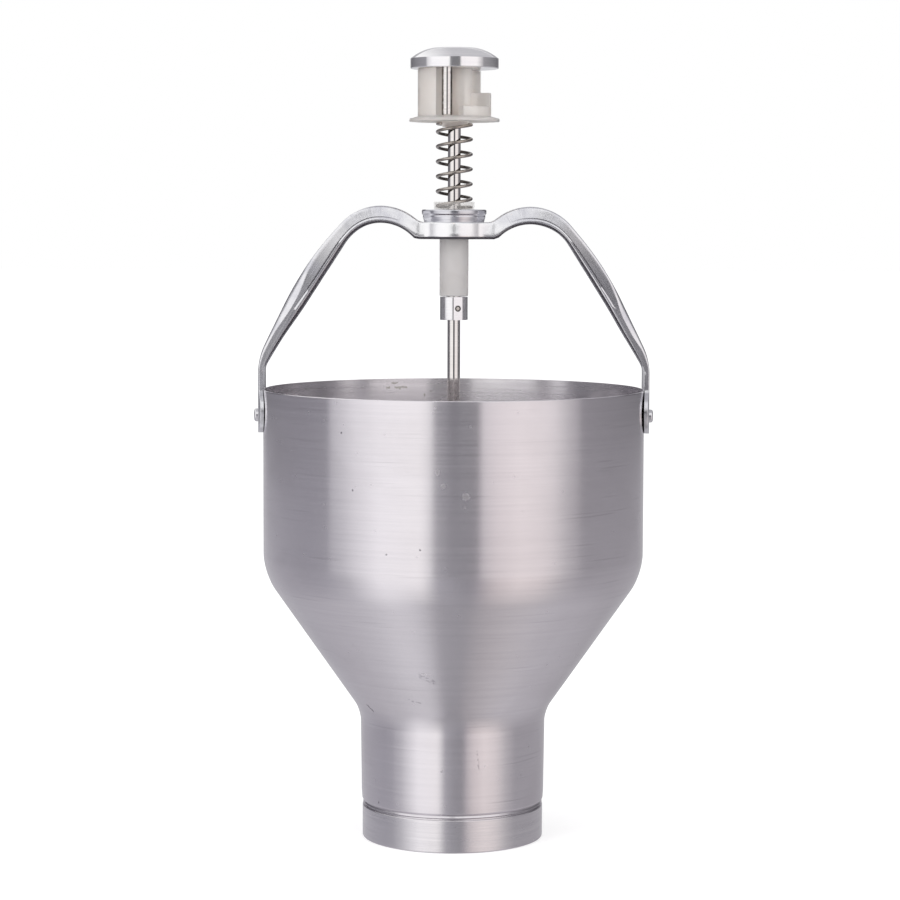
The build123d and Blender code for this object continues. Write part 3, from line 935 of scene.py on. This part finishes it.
# %% Bend the strip
rows = {}
for vertex in handle.data.vertices:
    rows.setdefault(round((vertex.co.x + 1) / 2 * stations), []).append(vertex)
for row, vertices in rows.items():
    side = 1 if 2 * row >= stations else -1
    half_length = half_lengths[side]
    distance = abs(2 * row / stations - 1) * half_length
    place = along_strap(side, distance)
    way = along_strap(side, min(distance + feel, half_length)) - along_strap(side, max(distance - feel, 0))
    way.normalize()
    outward = Vector((-way.y, way.x))
    depth = max(depth_below(side, place, -outward), strip_t)
    depth += deeper[side] * blend_over(distance, *uneven_span)
    lean = boss_lean
    for change, start, end in lean_changes:
        lean += change * blend_in(distance, start, end)
    shoulder = shoulder_share * depth * blend_over(-place.y, *(-z for z in shoulder_span[side]))
    groove = blend_over(distance, *groove_span)
    fold_r = 1 + 0.3 * shoulder
    half = section(half_width(place.x, place.y), depth, shoulder, lean, fold_r, groove)
    whole = half + [(-y, n) for y, n in reversed(half[1:-1])]
    rolled = blend_in(-place.y, -roll_start_z, -roll_full_z)
    outer_roll, inner_roll = ear_rolls[side]
    for vertex in vertices:
        k = round((vertex.co.y + 1) / 2 * loop) % loop
        y, inward = whole[k]
        roll_here = outer_roll + (inner_roll - outer_roll) * min(inward / strip_t, 1)
        inward += rolled * roll_here * y * y / (2 * face_x)
        spot = place - outward * inward
        vertex.co = (side * spot.x * MM, y * MM, spot.y * MM)
print(handle.name, "rows bent:", len(rows))

# %% Close the strip and drill it
bpy.ops.object.mode_set(mode="EDIT")
bpy.ops.mesh.select_all(action="SELECT")
bpy.ops.mesh.remove_doubles(threshold=0.004 * MM)
bpy.ops.mesh.select_mode(type="EDGE")
bpy.ops.mesh.select_all(action="DESELECT")
bpy.ops.mesh.select_non_manifold()
bpy.ops.mesh.edge_face_add()
bpy.ops.mesh.select_all(action="SELECT")
bpy.ops.mesh.normals_make_consistent(inside=False)
bpy.ops.object.mode_set(mode="OBJECT")
drilled(handle, bush_hole_r, (0, 0, boss_z))
bpy.ops.object.shade_smooth_by_angle(angle=math.radians(40))
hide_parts("handle_bridge")
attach(handle, "frame")

# %% [markdown]
# ## Finishes
# Each metal starts from how its surface was made. Spinning and turning leave fine lines round the axis,
# so a light is smeared along the axis: the shader's anisotropy does that, with the tangent taken round Z.
# The lines themselves are finer than a pixel, so they are drawn coarser here, about 1.5 mm apart on the
# hopper. Wear comes on top, as marks at listed places with ragged edges.

# %% Marks
# ragged edges: flecks of 1.4 mm, which is 700 to the metre, shake a mark by 0.8 mm to each side
flecks_per_m = 700.0
shake = 0.0008


def marked(tree, place, marks):
    """1 on any of the marks, each from a start to an end with a half width, all in mm."""
    ragged = add_node(tree, "ShaderNodeTexNoise", {"Scale": flecks_per_m, "Detail": 2.0}, {"Vector": place})
    shaken = add_node(
        tree,
        "ShaderNodeVectorMath",
        {"operation": "MULTIPLY_ADD", 1: (2 * shake, 2 * shake, 2 * shake)},
        {0: ragged.outputs["Color"], 2: place},
    )
    shaken = add_node(
        tree, "ShaderNodeVectorMath", {"operation": "SUBTRACT", 1: (shake, shake, shake)}, {0: shaken}
    )
    share = None
    for start, end, half_wide in marks:
        reach = (Vector(end) - Vector(start)) * MM
        per_reach = reach / max(reach.length_squared, 1e-12)
        gap = add_node(
            tree, "ShaderNodeVectorMath", {"operation": "SUBTRACT", 1: Vector(start) * MM}, {0: shaken}
        )
        along = add_node(tree, "ShaderNodeVectorMath", {"operation": "DOT_PRODUCT", 1: per_reach}, {0: gap})
        held = add_node(tree, "ShaderNodeClamp", None, {"Value": along})
        foot = add_node(tree, "ShaderNodeVectorMath", {"operation": "SCALE", 0: reach}, {"Scale": held})
        far = add_node(tree, "ShaderNodeVectorMath", {"operation": "DISTANCE"}, {0: gap, 1: foot})
        inside = add_node(
            tree,
            "ShaderNodeMapRange",
            {"From Min": 0.5 * half_wide * MM, "From Max": half_wide * MM, "To Min": 1.0, "To Max": 0.0},
            {"Value": far},
        )
        if share is None:
            share = inside
        else:
            share = add_node(tree, "ShaderNodeMath", {"operation": "MAXIMUM"}, {0: share, 1: inside})
    return share


print("marks are shaken by", shake / MM, "mm")

# %% Places on the hopper
def wall_place(outline, degrees, height):
    """Place in mm on a wall of the hopper, at a height and so many degrees to the right of its front."""
    for start, end in zip(outline, outline[1:]):
        share = (height - start[1]) / (end[1] - start[1])
        if 0 <= share <= 1:
            radius = start[0] + (end[0] - start[0]) * share
            turn = math.radians(degrees)
            return radius * math.sin(turn), -radius * math.cos(turn), height


def on_wall(outline, marks):
    """Marks between places on a wall, from marks between (degrees, height) pairs."""
    placed = []
    for start, end, half_wide in marks:
        placed.append((wall_place(outline, *start), wall_place(outline, *end), half_wide))
    return placed


def dot(degrees, height, half_wide):
    """A mark with no length."""
    return (degrees, height), (degrees, height), half_wide


print("front of the rim:", wall_place(hopper_outside, 0, rim_z))

# %% Wear on the hopper
# where each mark starts and ends, in degrees and mm of height, and half its width in mm; dents and
# scratches are dark, and scuffs are only duller
dents = on_wall(hopper_outside, [
    dot(-33.9, 198.2, 0.6),
    dot(-30, 172.7, 0.6),
    dot(-19.4, 144.8, 0.6),
    dot(-9.3, 147.3, 0.6),
    dot(-53.2, 20.5, 0.6),
])
scratches = on_wall(hopper_outside, [
    ((-14.4, 86.3), (-8.3, 83.1), 1.5),
    ((-12.5, 85.2), (-9.2, 83.6), 1.3),
    ((-22.3, 73.0), (-16.7, 71.8), 0.6),
    ((15.1, 48.2), (16.5, 39.2), 0.5),
])
scuffs = on_wall(hopper_outside, [
    dot(-4.5, 182.0, 1.2),
    dot(-2.9, 175.8, 1.2),
    dot(3.6, 171.2, 1.9),
    dot(-6.6, 38.8, 0.8),
    ((-13, 87.6), (-9.9, 86.2), 0.45),
    ((-56, 66.7), (-53.7, 64.5), 0.9),
])
# dried batter left a few stains inside, under the rim
inside_stains = on_wall(hopper_inside, [
    ((-160.5, 209.3), (-164.6, 209.3), 0.6),
    ((-159.8, 211.4), (-161.4, 211.4), 0.6),
    ((-157.8, 209.2), (-158.7, 209.2), 0.6),
    dot(-162.3, 208.5, 0.7),
    dot(-170.5, 205.2, 0.8),
    dot(-172.6, 207.1, 0.7),
])
print("marks outside:", len(dents) + len(scratches) + len(scuffs), "inside:", len(inside_stains))

# %% Spun aluminium
def new_finish(name):
    """A material with its tree and its shader."""
    finish = bpy.data.materials.new(name)
    finish.use_nodes = True
    return finish, finish.node_tree, finish.node_tree.nodes["Principled BSDF"]


# a soft grey metal: long vertical bands of light, drawn out by the fine lines that the spinner's tool left
# round it, with pits from the sheet and scuffs from use
spun, tree, shader = new_finish("spun_sheet_aluminium")
shader.inputs["Metallic"].default_value = 1.0
shader.inputs["Anisotropic"].default_value = 0.96
shader.inputs["Anisotropic Rotation"].default_value = 0.25
place = add_node(tree, "ShaderNodeTexCoord").outputs["Object"]
round_axis = add_node(tree, "ShaderNodeTangent", {"direction_type": "RADIAL", "axis": "Z"})
# turning lines: long round the body, 1.5 mm apart along it
drawn = add_node(tree, "ShaderNodeMapping", {"Scale": (7, 7, 650)}, {"Vector": place})
lines = add_node(
    tree, "ShaderNodeTexNoise", {"Scale": 1.0, "Detail": 4.0, "Roughness": 0.65}, {"Vector": drawn}
)
line_tone = add_node(
    tree, "ShaderNodeMix", {"data_type": "RGBA", 6: tone("#e2dee3"), 7: tone("#f2eef2")}, {0: lines}
)
# clouds of wear, some 40 mm across, a little wider than high
cloud_map = add_node(tree, "ShaderNodeMapping", {"Scale": (22, 22, 30)}, {"Vector": place})
clouds = add_node(
    tree,
    "ShaderNodeTexNoise",
    {"Scale": 1.0, "Detail": 5.0, "Roughness": 0.55, "Distortion": 0.4},
    {"Vector": cloud_map},
)
cloud_share = add_node(
    tree, "ShaderNodeMapRange", {"From Min": 0.45, "From Max": 0.75, "To Max": 0.3}, {"Value": clouds}
)
# a few deeper lines, each some 40 mm long and 0.4 mm wide
rare_map = add_node(tree, "ShaderNodeMapping", {"Scale": (24, 24, 1100)}, {"Vector": place})
rare = add_node(tree, "ShaderNodeTexNoise", {"Scale": 1.0, "Detail": 1.0}, {"Vector": rare_map})
rare_share = add_node(
    tree, "ShaderNodeMapRange", {"From Min": 0.66, "From Max": 0.76, "To Max": 0.22}, {"Value": rare}
)
print(spun.name, "nodes so far:", len(tree.nodes))

# %% Pits, scratches and painted shade of the sheet
# faint pits of about a millimetre, one in every 15 mm
cells = add_node(tree, "ShaderNodeTexVoronoi", {"Scale": 65.0}, {"Vector": place})
pit_share = add_node(
    tree,
    "ShaderNodeMapRange",
    {"From Min": 0.015, "From Max": 0.035, "To Min": 0.15, "To Max": 0.0},
    {"Value": cells},
)
# scratches are broken up by the same flecks that make them ragged
flecks = add_node(tree, "ShaderNodeTexNoise", {"Scale": flecks_per_m, "Detail": 2.0}, {"Vector": place})
broken = add_node(
    tree, "ShaderNodeMapRange", {"From Min": 0.4, "From Max": 0.62, "To Max": 0.45}, {"Value": flecks}
)
scratch_share = add_node(
    tree, "ShaderNodeMath", {"operation": "MULTIPLY"}, {0: marked(tree, place, scratches), 1: broken}
)
# painted shade darkens the groove at the neck's foot and the gap between the bead and the outlet ring
height = add_node(tree, "ShaderNodeSeparateXYZ", None, {"Vector": place}).outputs["Z"]
off_groove = add_node(
    tree, "ShaderNodeMath", {"operation": "SUBTRACT", 1: (groove_z + 0.35) * MM}, {0: height}
)
off_groove = add_node(tree, "ShaderNodeMath", {"operation": "ABSOLUTE"}, {0: off_groove})
groove_painted_shade = add_node(
    tree,
    "ShaderNodeMapRange",
    {"From Min": 0.3 * MM, "From Max": 0.65 * MM, "To Min": 0.15, "To Max": 0.0},
    {"Value": off_groove},
)
gap_painted_shade = add_node(
    tree,
    "ShaderNodeMapRange",
    {"From Min": (lip_z + 0.7) * MM, "From Max": (lip_z + 0.95) * MM, "To Min": 0.5, "To Max": 0.0},
    {"Value": height},
)
# pits, dents and scratches are wear; the groove and the gap are painted shade
marks_and_painted_shade = pit_share
for more in (marked(tree, place, dents), scratch_share, groove_painted_shade, gap_painted_shade):
    marks_and_painted_shade = add_node(tree, "ShaderNodeMath", {"operation": "MAXIMUM"}, {0: marks_and_painted_shade, 1: more})
# the tones of wear and the painted shade are laid over the lines, one after the other
sheet_tone = line_tone
for share, code in ((cloud_share, "#d8d3d6"), (rare_share, "#b4b0b5"), (marks_and_painted_shade, "#87848b")):
    sheet_tone = add_node(
        tree, "ShaderNodeMix", {"data_type": "RGBA", 7: tone(code)}, {0: share, 6: sheet_tone}
    )
print(spun.name, "nodes so far:", len(tree.nodes))

# %% Dull spots of the sheet
# faint dull specks of about a millimetre, 9 mm apart, which catch the light where the metal mirrors the dark
grit = add_node(tree, "ShaderNodeTexVoronoi", {"Scale": 110.0}, {"Vector": place})
speck_share = add_node(
    tree,
    "ShaderNodeMapRange",
    {"From Min": 0.05, "From Max": 0.08, "To Min": 0.25, "To Max": 0.0},
    {"Value": grit},
)
scuff_share = add_node(
    tree, "ShaderNodeMath", {"operation": "MAXIMUM"}, {0: marked(tree, place, scuffs), 1: speck_share}
)
rough = add_node(tree, "ShaderNodeMapRange", {"To Min": 0.17, "To Max": 0.27}, {"Value": lines})
for share, duller in ((cloud_share, 0.15), (scuff_share, 0.35)):
    rough = add_node(tree, "ShaderNodeMath", {"operation": "MULTIPLY_ADD", 1: duller}, {0: share, 2: rough})
bump = add_node(tree, "ShaderNodeBump", {"Strength": 0.12, "Distance": 0.06 * MM}, {"Height": lines})
join(shader, {"Base Color": sheet_tone, "Roughness": rough, "Normal": bump, "Tangent": round_axis})
print(spun.name, "nodes:", len(tree.nodes))

# %% [markdown]
# ## Turned and ground metals
# The smaller metal pieces come off a lathe or a grinder. They share one recipe: lines that run round the
# axis on a side face and in circles on an end face, which one number gives, the distance from the axis
# plus the height. What differs is the metal's tone, how fine its lines are and how far they smear a
# light.

# %% Lathe finish
def lathe_finish(name, tones, roughness, smear, line_mm, bare=1.0, marks=(), mark_tone=None):
    """A turned metal between two tones and two roughnesses, with lines so many mm apart.

    bare is how much of it is bare metal, where the rest is a dull skin, and marks are dents or stains in mm.
    """
    finish, tree, shader = new_finish(name)
    shader.inputs["Metallic"].default_value = bare
    shader.inputs["Anisotropic"].default_value = smear
    shader.inputs["Anisotropic Rotation"].default_value = 0.25
    round_axis = add_node(tree, "ShaderNodeTangent", {"direction_type": "RADIAL", "axis": "Z"})
    place = add_node(tree, "ShaderNodeTexCoord").outputs["Object"]
    split = add_node(tree, "ShaderNodeSeparateXYZ", None, {"Vector": place}).outputs
    across = add_node(tree, "ShaderNodeCombineXYZ", None, {"X": split["X"], "Y": split["Y"]})
    away = add_node(tree, "ShaderNodeVectorMath", {"operation": "LENGTH"}, {0: across})
    path = add_node(tree, "ShaderNodeMath", {"operation": "ADD"}, {0: away, 1: split["Z"]})
    thread = add_node(tree, "ShaderNodeCombineXYZ", None, {"X": split["X"], "Y": split["Y"], "Z": path})
    drawn = add_node(tree, "ShaderNodeMapping", {"Scale": (20, 20, 1000 / line_mm)}, {"Vector": thread})
    lines = add_node(
        tree, "ShaderNodeTexNoise", {"Scale": 1.0, "Detail": 3.0, "Roughness": 0.6}, {"Vector": drawn}
    )
    # blotches from handling, 8 mm across
    stains = add_node(
        tree, "ShaderNodeTexNoise", {"Scale": 130.0, "Detail": 4.0, "Roughness": 0.6}, {"Vector": place}
    )
    both = add_node(tree, "ShaderNodeMath", {"operation": "MULTIPLY_ADD", 1: 0.35}, {0: stains, 2: lines})
    share = add_node(tree, "ShaderNodeMapRange", {"From Min": 0.4, "From Max": 0.95}, {"Value": both})
    colour = add_node(
        tree, "ShaderNodeMix", {"data_type": "RGBA", 6: tone(tones[0]), 7: tone(tones[1])}, {0: share}
    )
    if marks:
        on_mark = marked(tree, place, marks)
        colour = add_node(
            tree, "ShaderNodeMix", {"data_type": "RGBA", 7: tone(mark_tone)}, {0: on_mark, 6: colour}
        )
    rough = add_node(
        tree, "ShaderNodeMapRange", {"To Min": roughness[0], "To Max": roughness[1]}, {"Value": share}
    )
    bump = add_node(tree, "ShaderNodeBump", {"Strength": 0.07, "Distance": 0.04 * MM}, {"Height": lines})
    join(shader, {"Base Color": colour, "Roughness": rough, "Normal": bump, "Tangent": round_axis})
    print(name, "nodes:", len(tree.nodes))
    return finish


# %% Aluminium pieces
# aluminium turned with a coarse feed: as grey as the hopper, with the same long bands of light
turned_aluminium = lathe_finish(
    "lathe_turned_aluminium", ("#efecef", "#e3e0e4"), roughness=(0.2, 0.29), smear=0.88, line_mm=0.9
)
# turned, then polished on the spindle: nearly white, with crisp edges between light and dark
knob_aluminium = lathe_finish(
    "polished_aluminium", ("#fcfbfc", "#eeedf0"), roughness=(0.1, 0.17), smear=0.3, line_mm=0.6, bare=0.9
)
# turned with a fine feed and left: as pale as the knob, a little softer
collar_aluminium = lathe_finish(
    "fine_turned_aluminium", ("#fcfbfc", "#eeecf0"), roughness=(0.12, 0.18), smear=0.2, line_mm=0.7, bare=0.9
)
# a cold-headed rivet is smooth from the die, so its head shows small bright spots
rivet_aluminium = lathe_finish(
    "headed_aluminium", ("#ecebee", "#d3d2d6"), roughness=(0.07, 0.16), smear=0.0, line_mm=0.6
)
# the hopper's inside was against the former and is washed more than handled: brighter, with dried stains
spun_inside = lathe_finish(
    "spun_sheet_inside",
    ("#f0edf0", "#e2dee2"),
    roughness=(0.2, 0.31),
    smear=0.9,
    line_mm=1.5,
    marks=inside_stains,
    mark_tone="#c2bfba",
)

# %% Steel pieces
# zinc-plated steel: bluish, and duller than aluminium where the plate has aged
plated_steel = lathe_finish(
    "zinc_plated_steel", ("#ececf0", "#d0d0d7"), roughness=(0.15, 0.25), smear=0.3, line_mm=0.5
)
# ground stainless bar: a warm mirror, with thin white and dark lines along it
bar_tones = ("#f8f5f3", "#e2deda")
bar_roughness = (0.03, 0.07)
stainless_rod = lathe_finish("ground_stainless_bar", bar_tones, bar_roughness, smear=0.3, line_mm=0.5)
# plain stainless nuts and washers: greyer, with a dull tumbled skin
stainless_fastener = lathe_finish(
    "tumbled_stainless", ("#d2cdc9", "#bab5b1"), roughness=(0.2, 0.36), smear=0.2, line_mm=0.6
)
# the strip's sheared edge has no plate: dark grey, and rough from the shears; the same finish is painted
# shade in the strap's groove and under its lip
cut_edge_and_shade_steel = lathe_finish(
    "sheared_steel_and_painted_shade", ("#8e8d92", "#747378"), roughness=(0.3, 0.45), smear=0.0, line_mm=2.0
)
# the grub screw is dark and dull, as painted shade of the hole round it
screw_hole_shade_steel = lathe_finish(
    "screw_steel_painted_hole_shade", ("#8a8886", "#5d5b5a"), roughness=(0.3, 0.5), smear=0.0, line_mm=0.5
)

# %% Level pin
# the pin is the same bar, with painted shade as dark lines along both its sides, 25 degrees in front of its
# widest place, where the walls of the adjuster's bay keep the room's reflections from it
pin_shade_out = 2.27
pin_shade_front = 1.06
pin_shade_half_w = 1.15
pin_corners = [Vector(corner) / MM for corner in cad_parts["level_pin"].bound_box]
pin_low = pin_corners[0]
pin_high = pin_corners[6]
pin_mid = (pin_low + pin_high) / 2
pin_painted_shade = []
for side in (-1, 1):
    x = pin_mid.x + side * pin_shade_out
    y = pin_mid.y - pin_shade_front
    pin_painted_shade.append(((x, y, pin_low.z), (x, y, pin_high.z), pin_shade_half_w))
# the pin's dark side lines are painted shade
shaded_pin = lathe_finish(
    "stainless_bar_painted_shade",
    bar_tones,
    bar_roughness,
    smear=0.3,
    line_mm=0.5,
    marks=pin_painted_shade,
    mark_tone="#756c68",
)

# %% [markdown]
# ## Plated strip
# The handle is steel strip with a bright plate. The press stretched it over the crest, which left fine
# marks across the strip, and handling left faint scratches along it. Both follow the strip, so they use
# the grid's own UV map, in which U runs from ear to ear.

# %% Plated strip
# bright plate: white where it mirrors a soft box, grey along the arms, with a satin from the press
strip, tree, shader = new_finish("bright_plated_strip")
shader.inputs["Metallic"].default_value = 1.0
coords = add_node(tree, "ShaderNodeTexCoord").outputs
along = add_node(tree, "ShaderNodeSeparateXYZ", None, {"Vector": coords["UV"]}).outputs["X"]
offset = add_node(tree, "ShaderNodeMath", {"operation": "SUBTRACT", 1: 0.5}, {0: along})
# share of the strip's length from its middle
reach = add_node(tree, "ShaderNodeMath", {"operation": "ABSOLUTE"}, {0: offset})
# press marks 1.3 mm apart along the strip, over the crest only
rise = add_node(tree, "ShaderNodeMapRange", {"From Min": 0.03, "From Max": 0.075}, {"Value": reach})
fall = add_node(
    tree,
    "ShaderNodeMapRange",
    {"From Min": 0.15, "From Max": 0.24, "To Min": 1.0, "To Max": 0.0},
    {"Value": reach},
)
crest = add_node(tree, "ShaderNodeMath", {"operation": "MULTIPLY"}, {0: rise, 1: fall})
press_map = add_node(tree, "ShaderNodeMapping", {"Scale": (260, 5, 1)}, {"Vector": coords["UV"]})
press = add_node(
    tree,
    "ShaderNodeTexNoise",
    {"Scale": 1.0, "Detail": 3.0, "Roughness": 0.6, "Distortion": 0.3},
    {"Vector": press_map},
)
press_height = add_node(tree, "ShaderNodeMath", {"operation": "MULTIPLY"}, {0: press, 1: crest})
press_share = add_node(
    tree, "ShaderNodeMapRange", {"From Min": 0.5, "From Max": 0.72, "To Max": 0.55}, {"Value": press_height}
)
# scratches along the strip, half a millimetre apart
scratch_map = add_node(tree, "ShaderNodeMapping", {"Scale": (18, 170, 1)}, {"Vector": coords["UV"]})
scratch = add_node(
    tree, "ShaderNodeTexNoise", {"Scale": 1.0, "Detail": 3.0, "Roughness": 0.6}, {"Vector": scratch_map}
)
print(strip.name, "nodes so far:", len(tree.nodes))

# %% Tones of the strip
# dull patches, 12 mm across
patch = add_node(
    tree,
    "ShaderNodeTexNoise",
    {"Scale": 80.0, "Detail": 4.0, "Roughness": 0.6},
    {"Vector": coords["Object"]},
)
patch_share = add_node(tree, "ShaderNodeMapRange", {"From Min": 0.45, "From Max": 0.72}, {"Value": patch})
plate_tone = add_node(
    tree, "ShaderNodeMix", {"data_type": "RGBA", 6: tone("#eeeef1"), 7: tone("#d8d8df")}, {0: patch_share}
)
# the boss is worn bright
boss_share = add_node(
    tree,
    "ShaderNodeMapRange",
    {"From Min": 0.035, "From Max": 0.075, "To Min": 0.85, "To Max": 0.0},
    {"Value": reach},
)
# the ears are stained from washing, in blots 4 mm across
blot = add_node(
    tree,
    "ShaderNodeTexNoise",
    {"Scale": 260.0, "Detail": 4.0, "Roughness": 0.65},
    {"Vector": coords["Object"]},
)
height = add_node(tree, "ShaderNodeSeparateXYZ", None, {"Vector": coords["Object"]}).outputs["Z"]
low = add_node(
    tree,
    "ShaderNodeMapRange",
    {"From Min": 0.205, "From Max": 0.238, "To Min": 1.0, "To Max": 0.0},
    {"Value": height},
)
blot_share = add_node(
    tree, "ShaderNodeMapRange", {"From Min": 0.42, "From Max": 0.75, "To Max": 0.7}, {"Value": blot}
)
stain = add_node(tree, "ShaderNodeMath", {"operation": "MULTIPLY"}, {0: blot_share, 1: low})
for share, code in ((press_share, "#b4b3bb"), (boss_share, "#fefeff"), (stain, "#a9a8ac")):
    plate_tone = add_node(
        tree, "ShaderNodeMix", {"data_type": "RGBA", 7: tone(code)}, {0: share, 6: plate_tone}
    )
# the arms keep a little more of the press's satin than the boss
rough = add_node(
    tree,
    "ShaderNodeMapRange",
    {"From Min": 0.035, "From Max": 0.075, "To Min": 0.17, "To Max": 0.18},
    {"Value": reach},
)
for share, duller in ((scratch, 0.1), (patch_share, 0.06)):
    rough = add_node(tree, "ShaderNodeMath", {"operation": "MULTIPLY_ADD", 1: duller}, {0: share, 2: rough})
fine = add_node(tree, "ShaderNodeBump", {"Strength": 0.08, "Distance": 0.05 * MM}, {"Height": scratch})
bump = add_node(
    tree,
    "ShaderNodeBump",
    {"Strength": 0.35, "Distance": 0.12 * MM},
    {"Height": press_height, "Normal": fine},
)
join(shader, {"Base Color": plate_tone, "Roughness": rough, "Normal": bump})
print(strip.name, "nodes:", len(tree.nodes))

# %% [markdown]
# ## Nylon and wire
# Natural nylon is milky: light goes a few millimetres into it and comes out again, so shadows in it are
# soft. The shader's subsurface does that. The thin adjuster and the spring cup also let light straight
# through, which subsurface alone would stop. The spring is drawn stainless wire, a little browner than the
# rod, and its tone goes by the distance from the axis: painted shade darkens the inside of the coil and
# leaves its outside bright.

# %% Nylon
def nylon_finish(name, tones, depth_mm, clear=0.0, solid=1.0):
    """Moulded natural nylon that light enters by so many mm, with faint flow marks 8 mm across.

    clear is how much light goes straight through it, and solid is below 1 for a skin that is seen through.
    """
    finish, tree, shader = new_finish(name)
    shader.inputs["IOR"].default_value = 1.53
    shader.inputs["Subsurface Weight"].default_value = 1.0 if depth_mm else 0.0
    shader.inputs["Subsurface Radius"].default_value = (1.0, 0.97, 0.94)
    shader.inputs["Subsurface Scale"].default_value = depth_mm * MM
    shader.inputs["Transmission Weight"].default_value = clear
    shader.inputs["Alpha"].default_value = solid
    place = add_node(tree, "ShaderNodeTexCoord").outputs["Object"]
    flow = add_node(
        tree,
        "ShaderNodeTexNoise",
        {"Scale": 120.0, "Detail": 3.0, "Roughness": 0.5, "Distortion": 0.8},
        {"Vector": place},
    )
    # the mould's grain, 0.6 mm across
    grain = add_node(tree, "ShaderNodeTexNoise", {"Scale": 1600.0, "Detail": 2.0}, {"Vector": place})
    colour = add_node(
        tree, "ShaderNodeMix", {"data_type": "RGBA", 6: tone(tones[0]), 7: tone(tones[1])}, {0: flow}
    )
    rough = add_node(tree, "ShaderNodeMapRange", {"To Min": 0.3, "To Max": 0.48}, {"Value": flow})
    bump = add_node(tree, "ShaderNodeBump", {"Strength": 0.06, "Distance": 0.06 * MM}, {"Height": grain})
    join(shader, {"Base Color": colour, "Roughness": rough, "Normal": bump})
    print(name, "nodes:", len(tree.nodes))
    return finish


# the thick sleeve is a plain pale grey with soft shadows
nylon = nylon_finish("moulded_nylon", ("#d8d5d5", "#ccc8c7"), depth_mm=3.0)
# the adjuster's walls are thin, so some light goes through them and it glows like milk glass
adjuster_plastic = nylon_finish("milky_nylon", ("#f4eeea", "#ece5e0"), depth_mm=12.0, clear=0.6)
# the spring cup is so thin that it is only a veil over the last coil
clear_nylon = nylon_finish("thin_nylon", ("#eae7e4", "#dedad7"), depth_mm=0.0, solid=0.2)

# %% Spring wire finish
# painted shade: the wire is dark on the inside of the coil and pale outside
spring_steel, tree, shader = new_finish("drawn_stainless_wire")
shader.inputs["Metallic"].default_value = 1.0
place = add_node(tree, "ShaderNodeTexCoord").outputs["Object"]
across = add_node(tree, "ShaderNodeMapping", {"Scale": (1, 1, 0)}, {"Vector": place})
away = add_node(tree, "ShaderNodeVectorMath", {"operation": "LENGTH"}, {0: across})
clear_of_coil_shade = add_node(
    tree,
    "ShaderNodeMapRange",
    {"From Min": (coil_r - 0.3) * MM, "From Max": (coil_r + 0.35) * MM},
    {"Value": away},
)
# drawing marks, 0.8 mm apart, break up the painted shade
skin = add_node(tree, "ShaderNodeTexNoise", {"Scale": 1200.0, "Detail": 3.0}, {"Vector": place})
coil_shade_and_marks = add_node(
    tree, "ShaderNodeMath", {"operation": "MULTIPLY_ADD", 1: 0.3, "use_clamp": True}, {0: skin, 2: clear_of_coil_shade}
)
# the dark tone is painted shade inside the coil, and the pale one is the wire's outside
wire_tone = add_node(
    tree, "ShaderNodeMix", {"data_type": "RGBA", 6: tone("#4a443f"), 7: tone("#b2aba4")}, {0: coil_shade_and_marks}
)
rough = add_node(tree, "ShaderNodeMapRange", {"To Min": 0.2, "To Max": 0.09}, {"Value": coil_shade_and_marks})
join(shader, {"Base Color": wire_tone, "Roughness": rough})
print(spring_steel.name, "nodes:", len(tree.nodes))

# %% [markdown]
# ## Dressing the pieces
# Every CAD node that still shows gets one finish. The new pieces get theirs in the order of their slots: the
# hopper has an outside and an inside, the strap a plated face and a sheared edge whose dark finish is also
# painted shade in its groove and under its lip, and the screw a body painted dark for the shade of its hole
# and an end whose brighter finish is a painted highlight.

# %% Dress the pieces
def give(finish, *names):
    """Put a finish on CAD nodes."""
    for name in names:
        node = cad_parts[name]
        node.data.materials.clear()
        node.data.materials.append(finish)


give(knob_aluminium, "push_knob")
give(stainless_rod, "plunger_rod")
give(shaded_pin, "level_pin")
give(adjuster_plastic, "adjuster")
give(rivet_aluminium, "left_rivet", "right_rivet")
give(turned_aluminium, "piston", "spacer_tube", "cutter_disc")
give(stainless_fastener, "piston_nut", "piston_washer", "cutter_washer", "cap_nut")
for piece, *finishes in (
    (hopper, spun, spun_inside),
    (outlet, turned_aluminium),
    (disc, plated_steel),
    (sleeve, nylon),
    (cup, clear_nylon),
    # the strap's second finish covers its bare cut edge and the painted shade in its groove and under its
    # lip
    (handle, strip, cut_edge_and_shade_steel),
    (spring, spring_steel),
    (collar, collar_aluminium),
    # the screw's body is painted dark for the shade of its hole, and its end gets the brighter fastener
    # finish as a painted highlight
    (screw, screw_hole_shade_steel, stainless_fastener),
):
    slots = piece.data.materials
    while len(slots) < len(finishes):
        slots.append(None)
    for k, finish in enumerate(finishes):
        slots[k] = finish
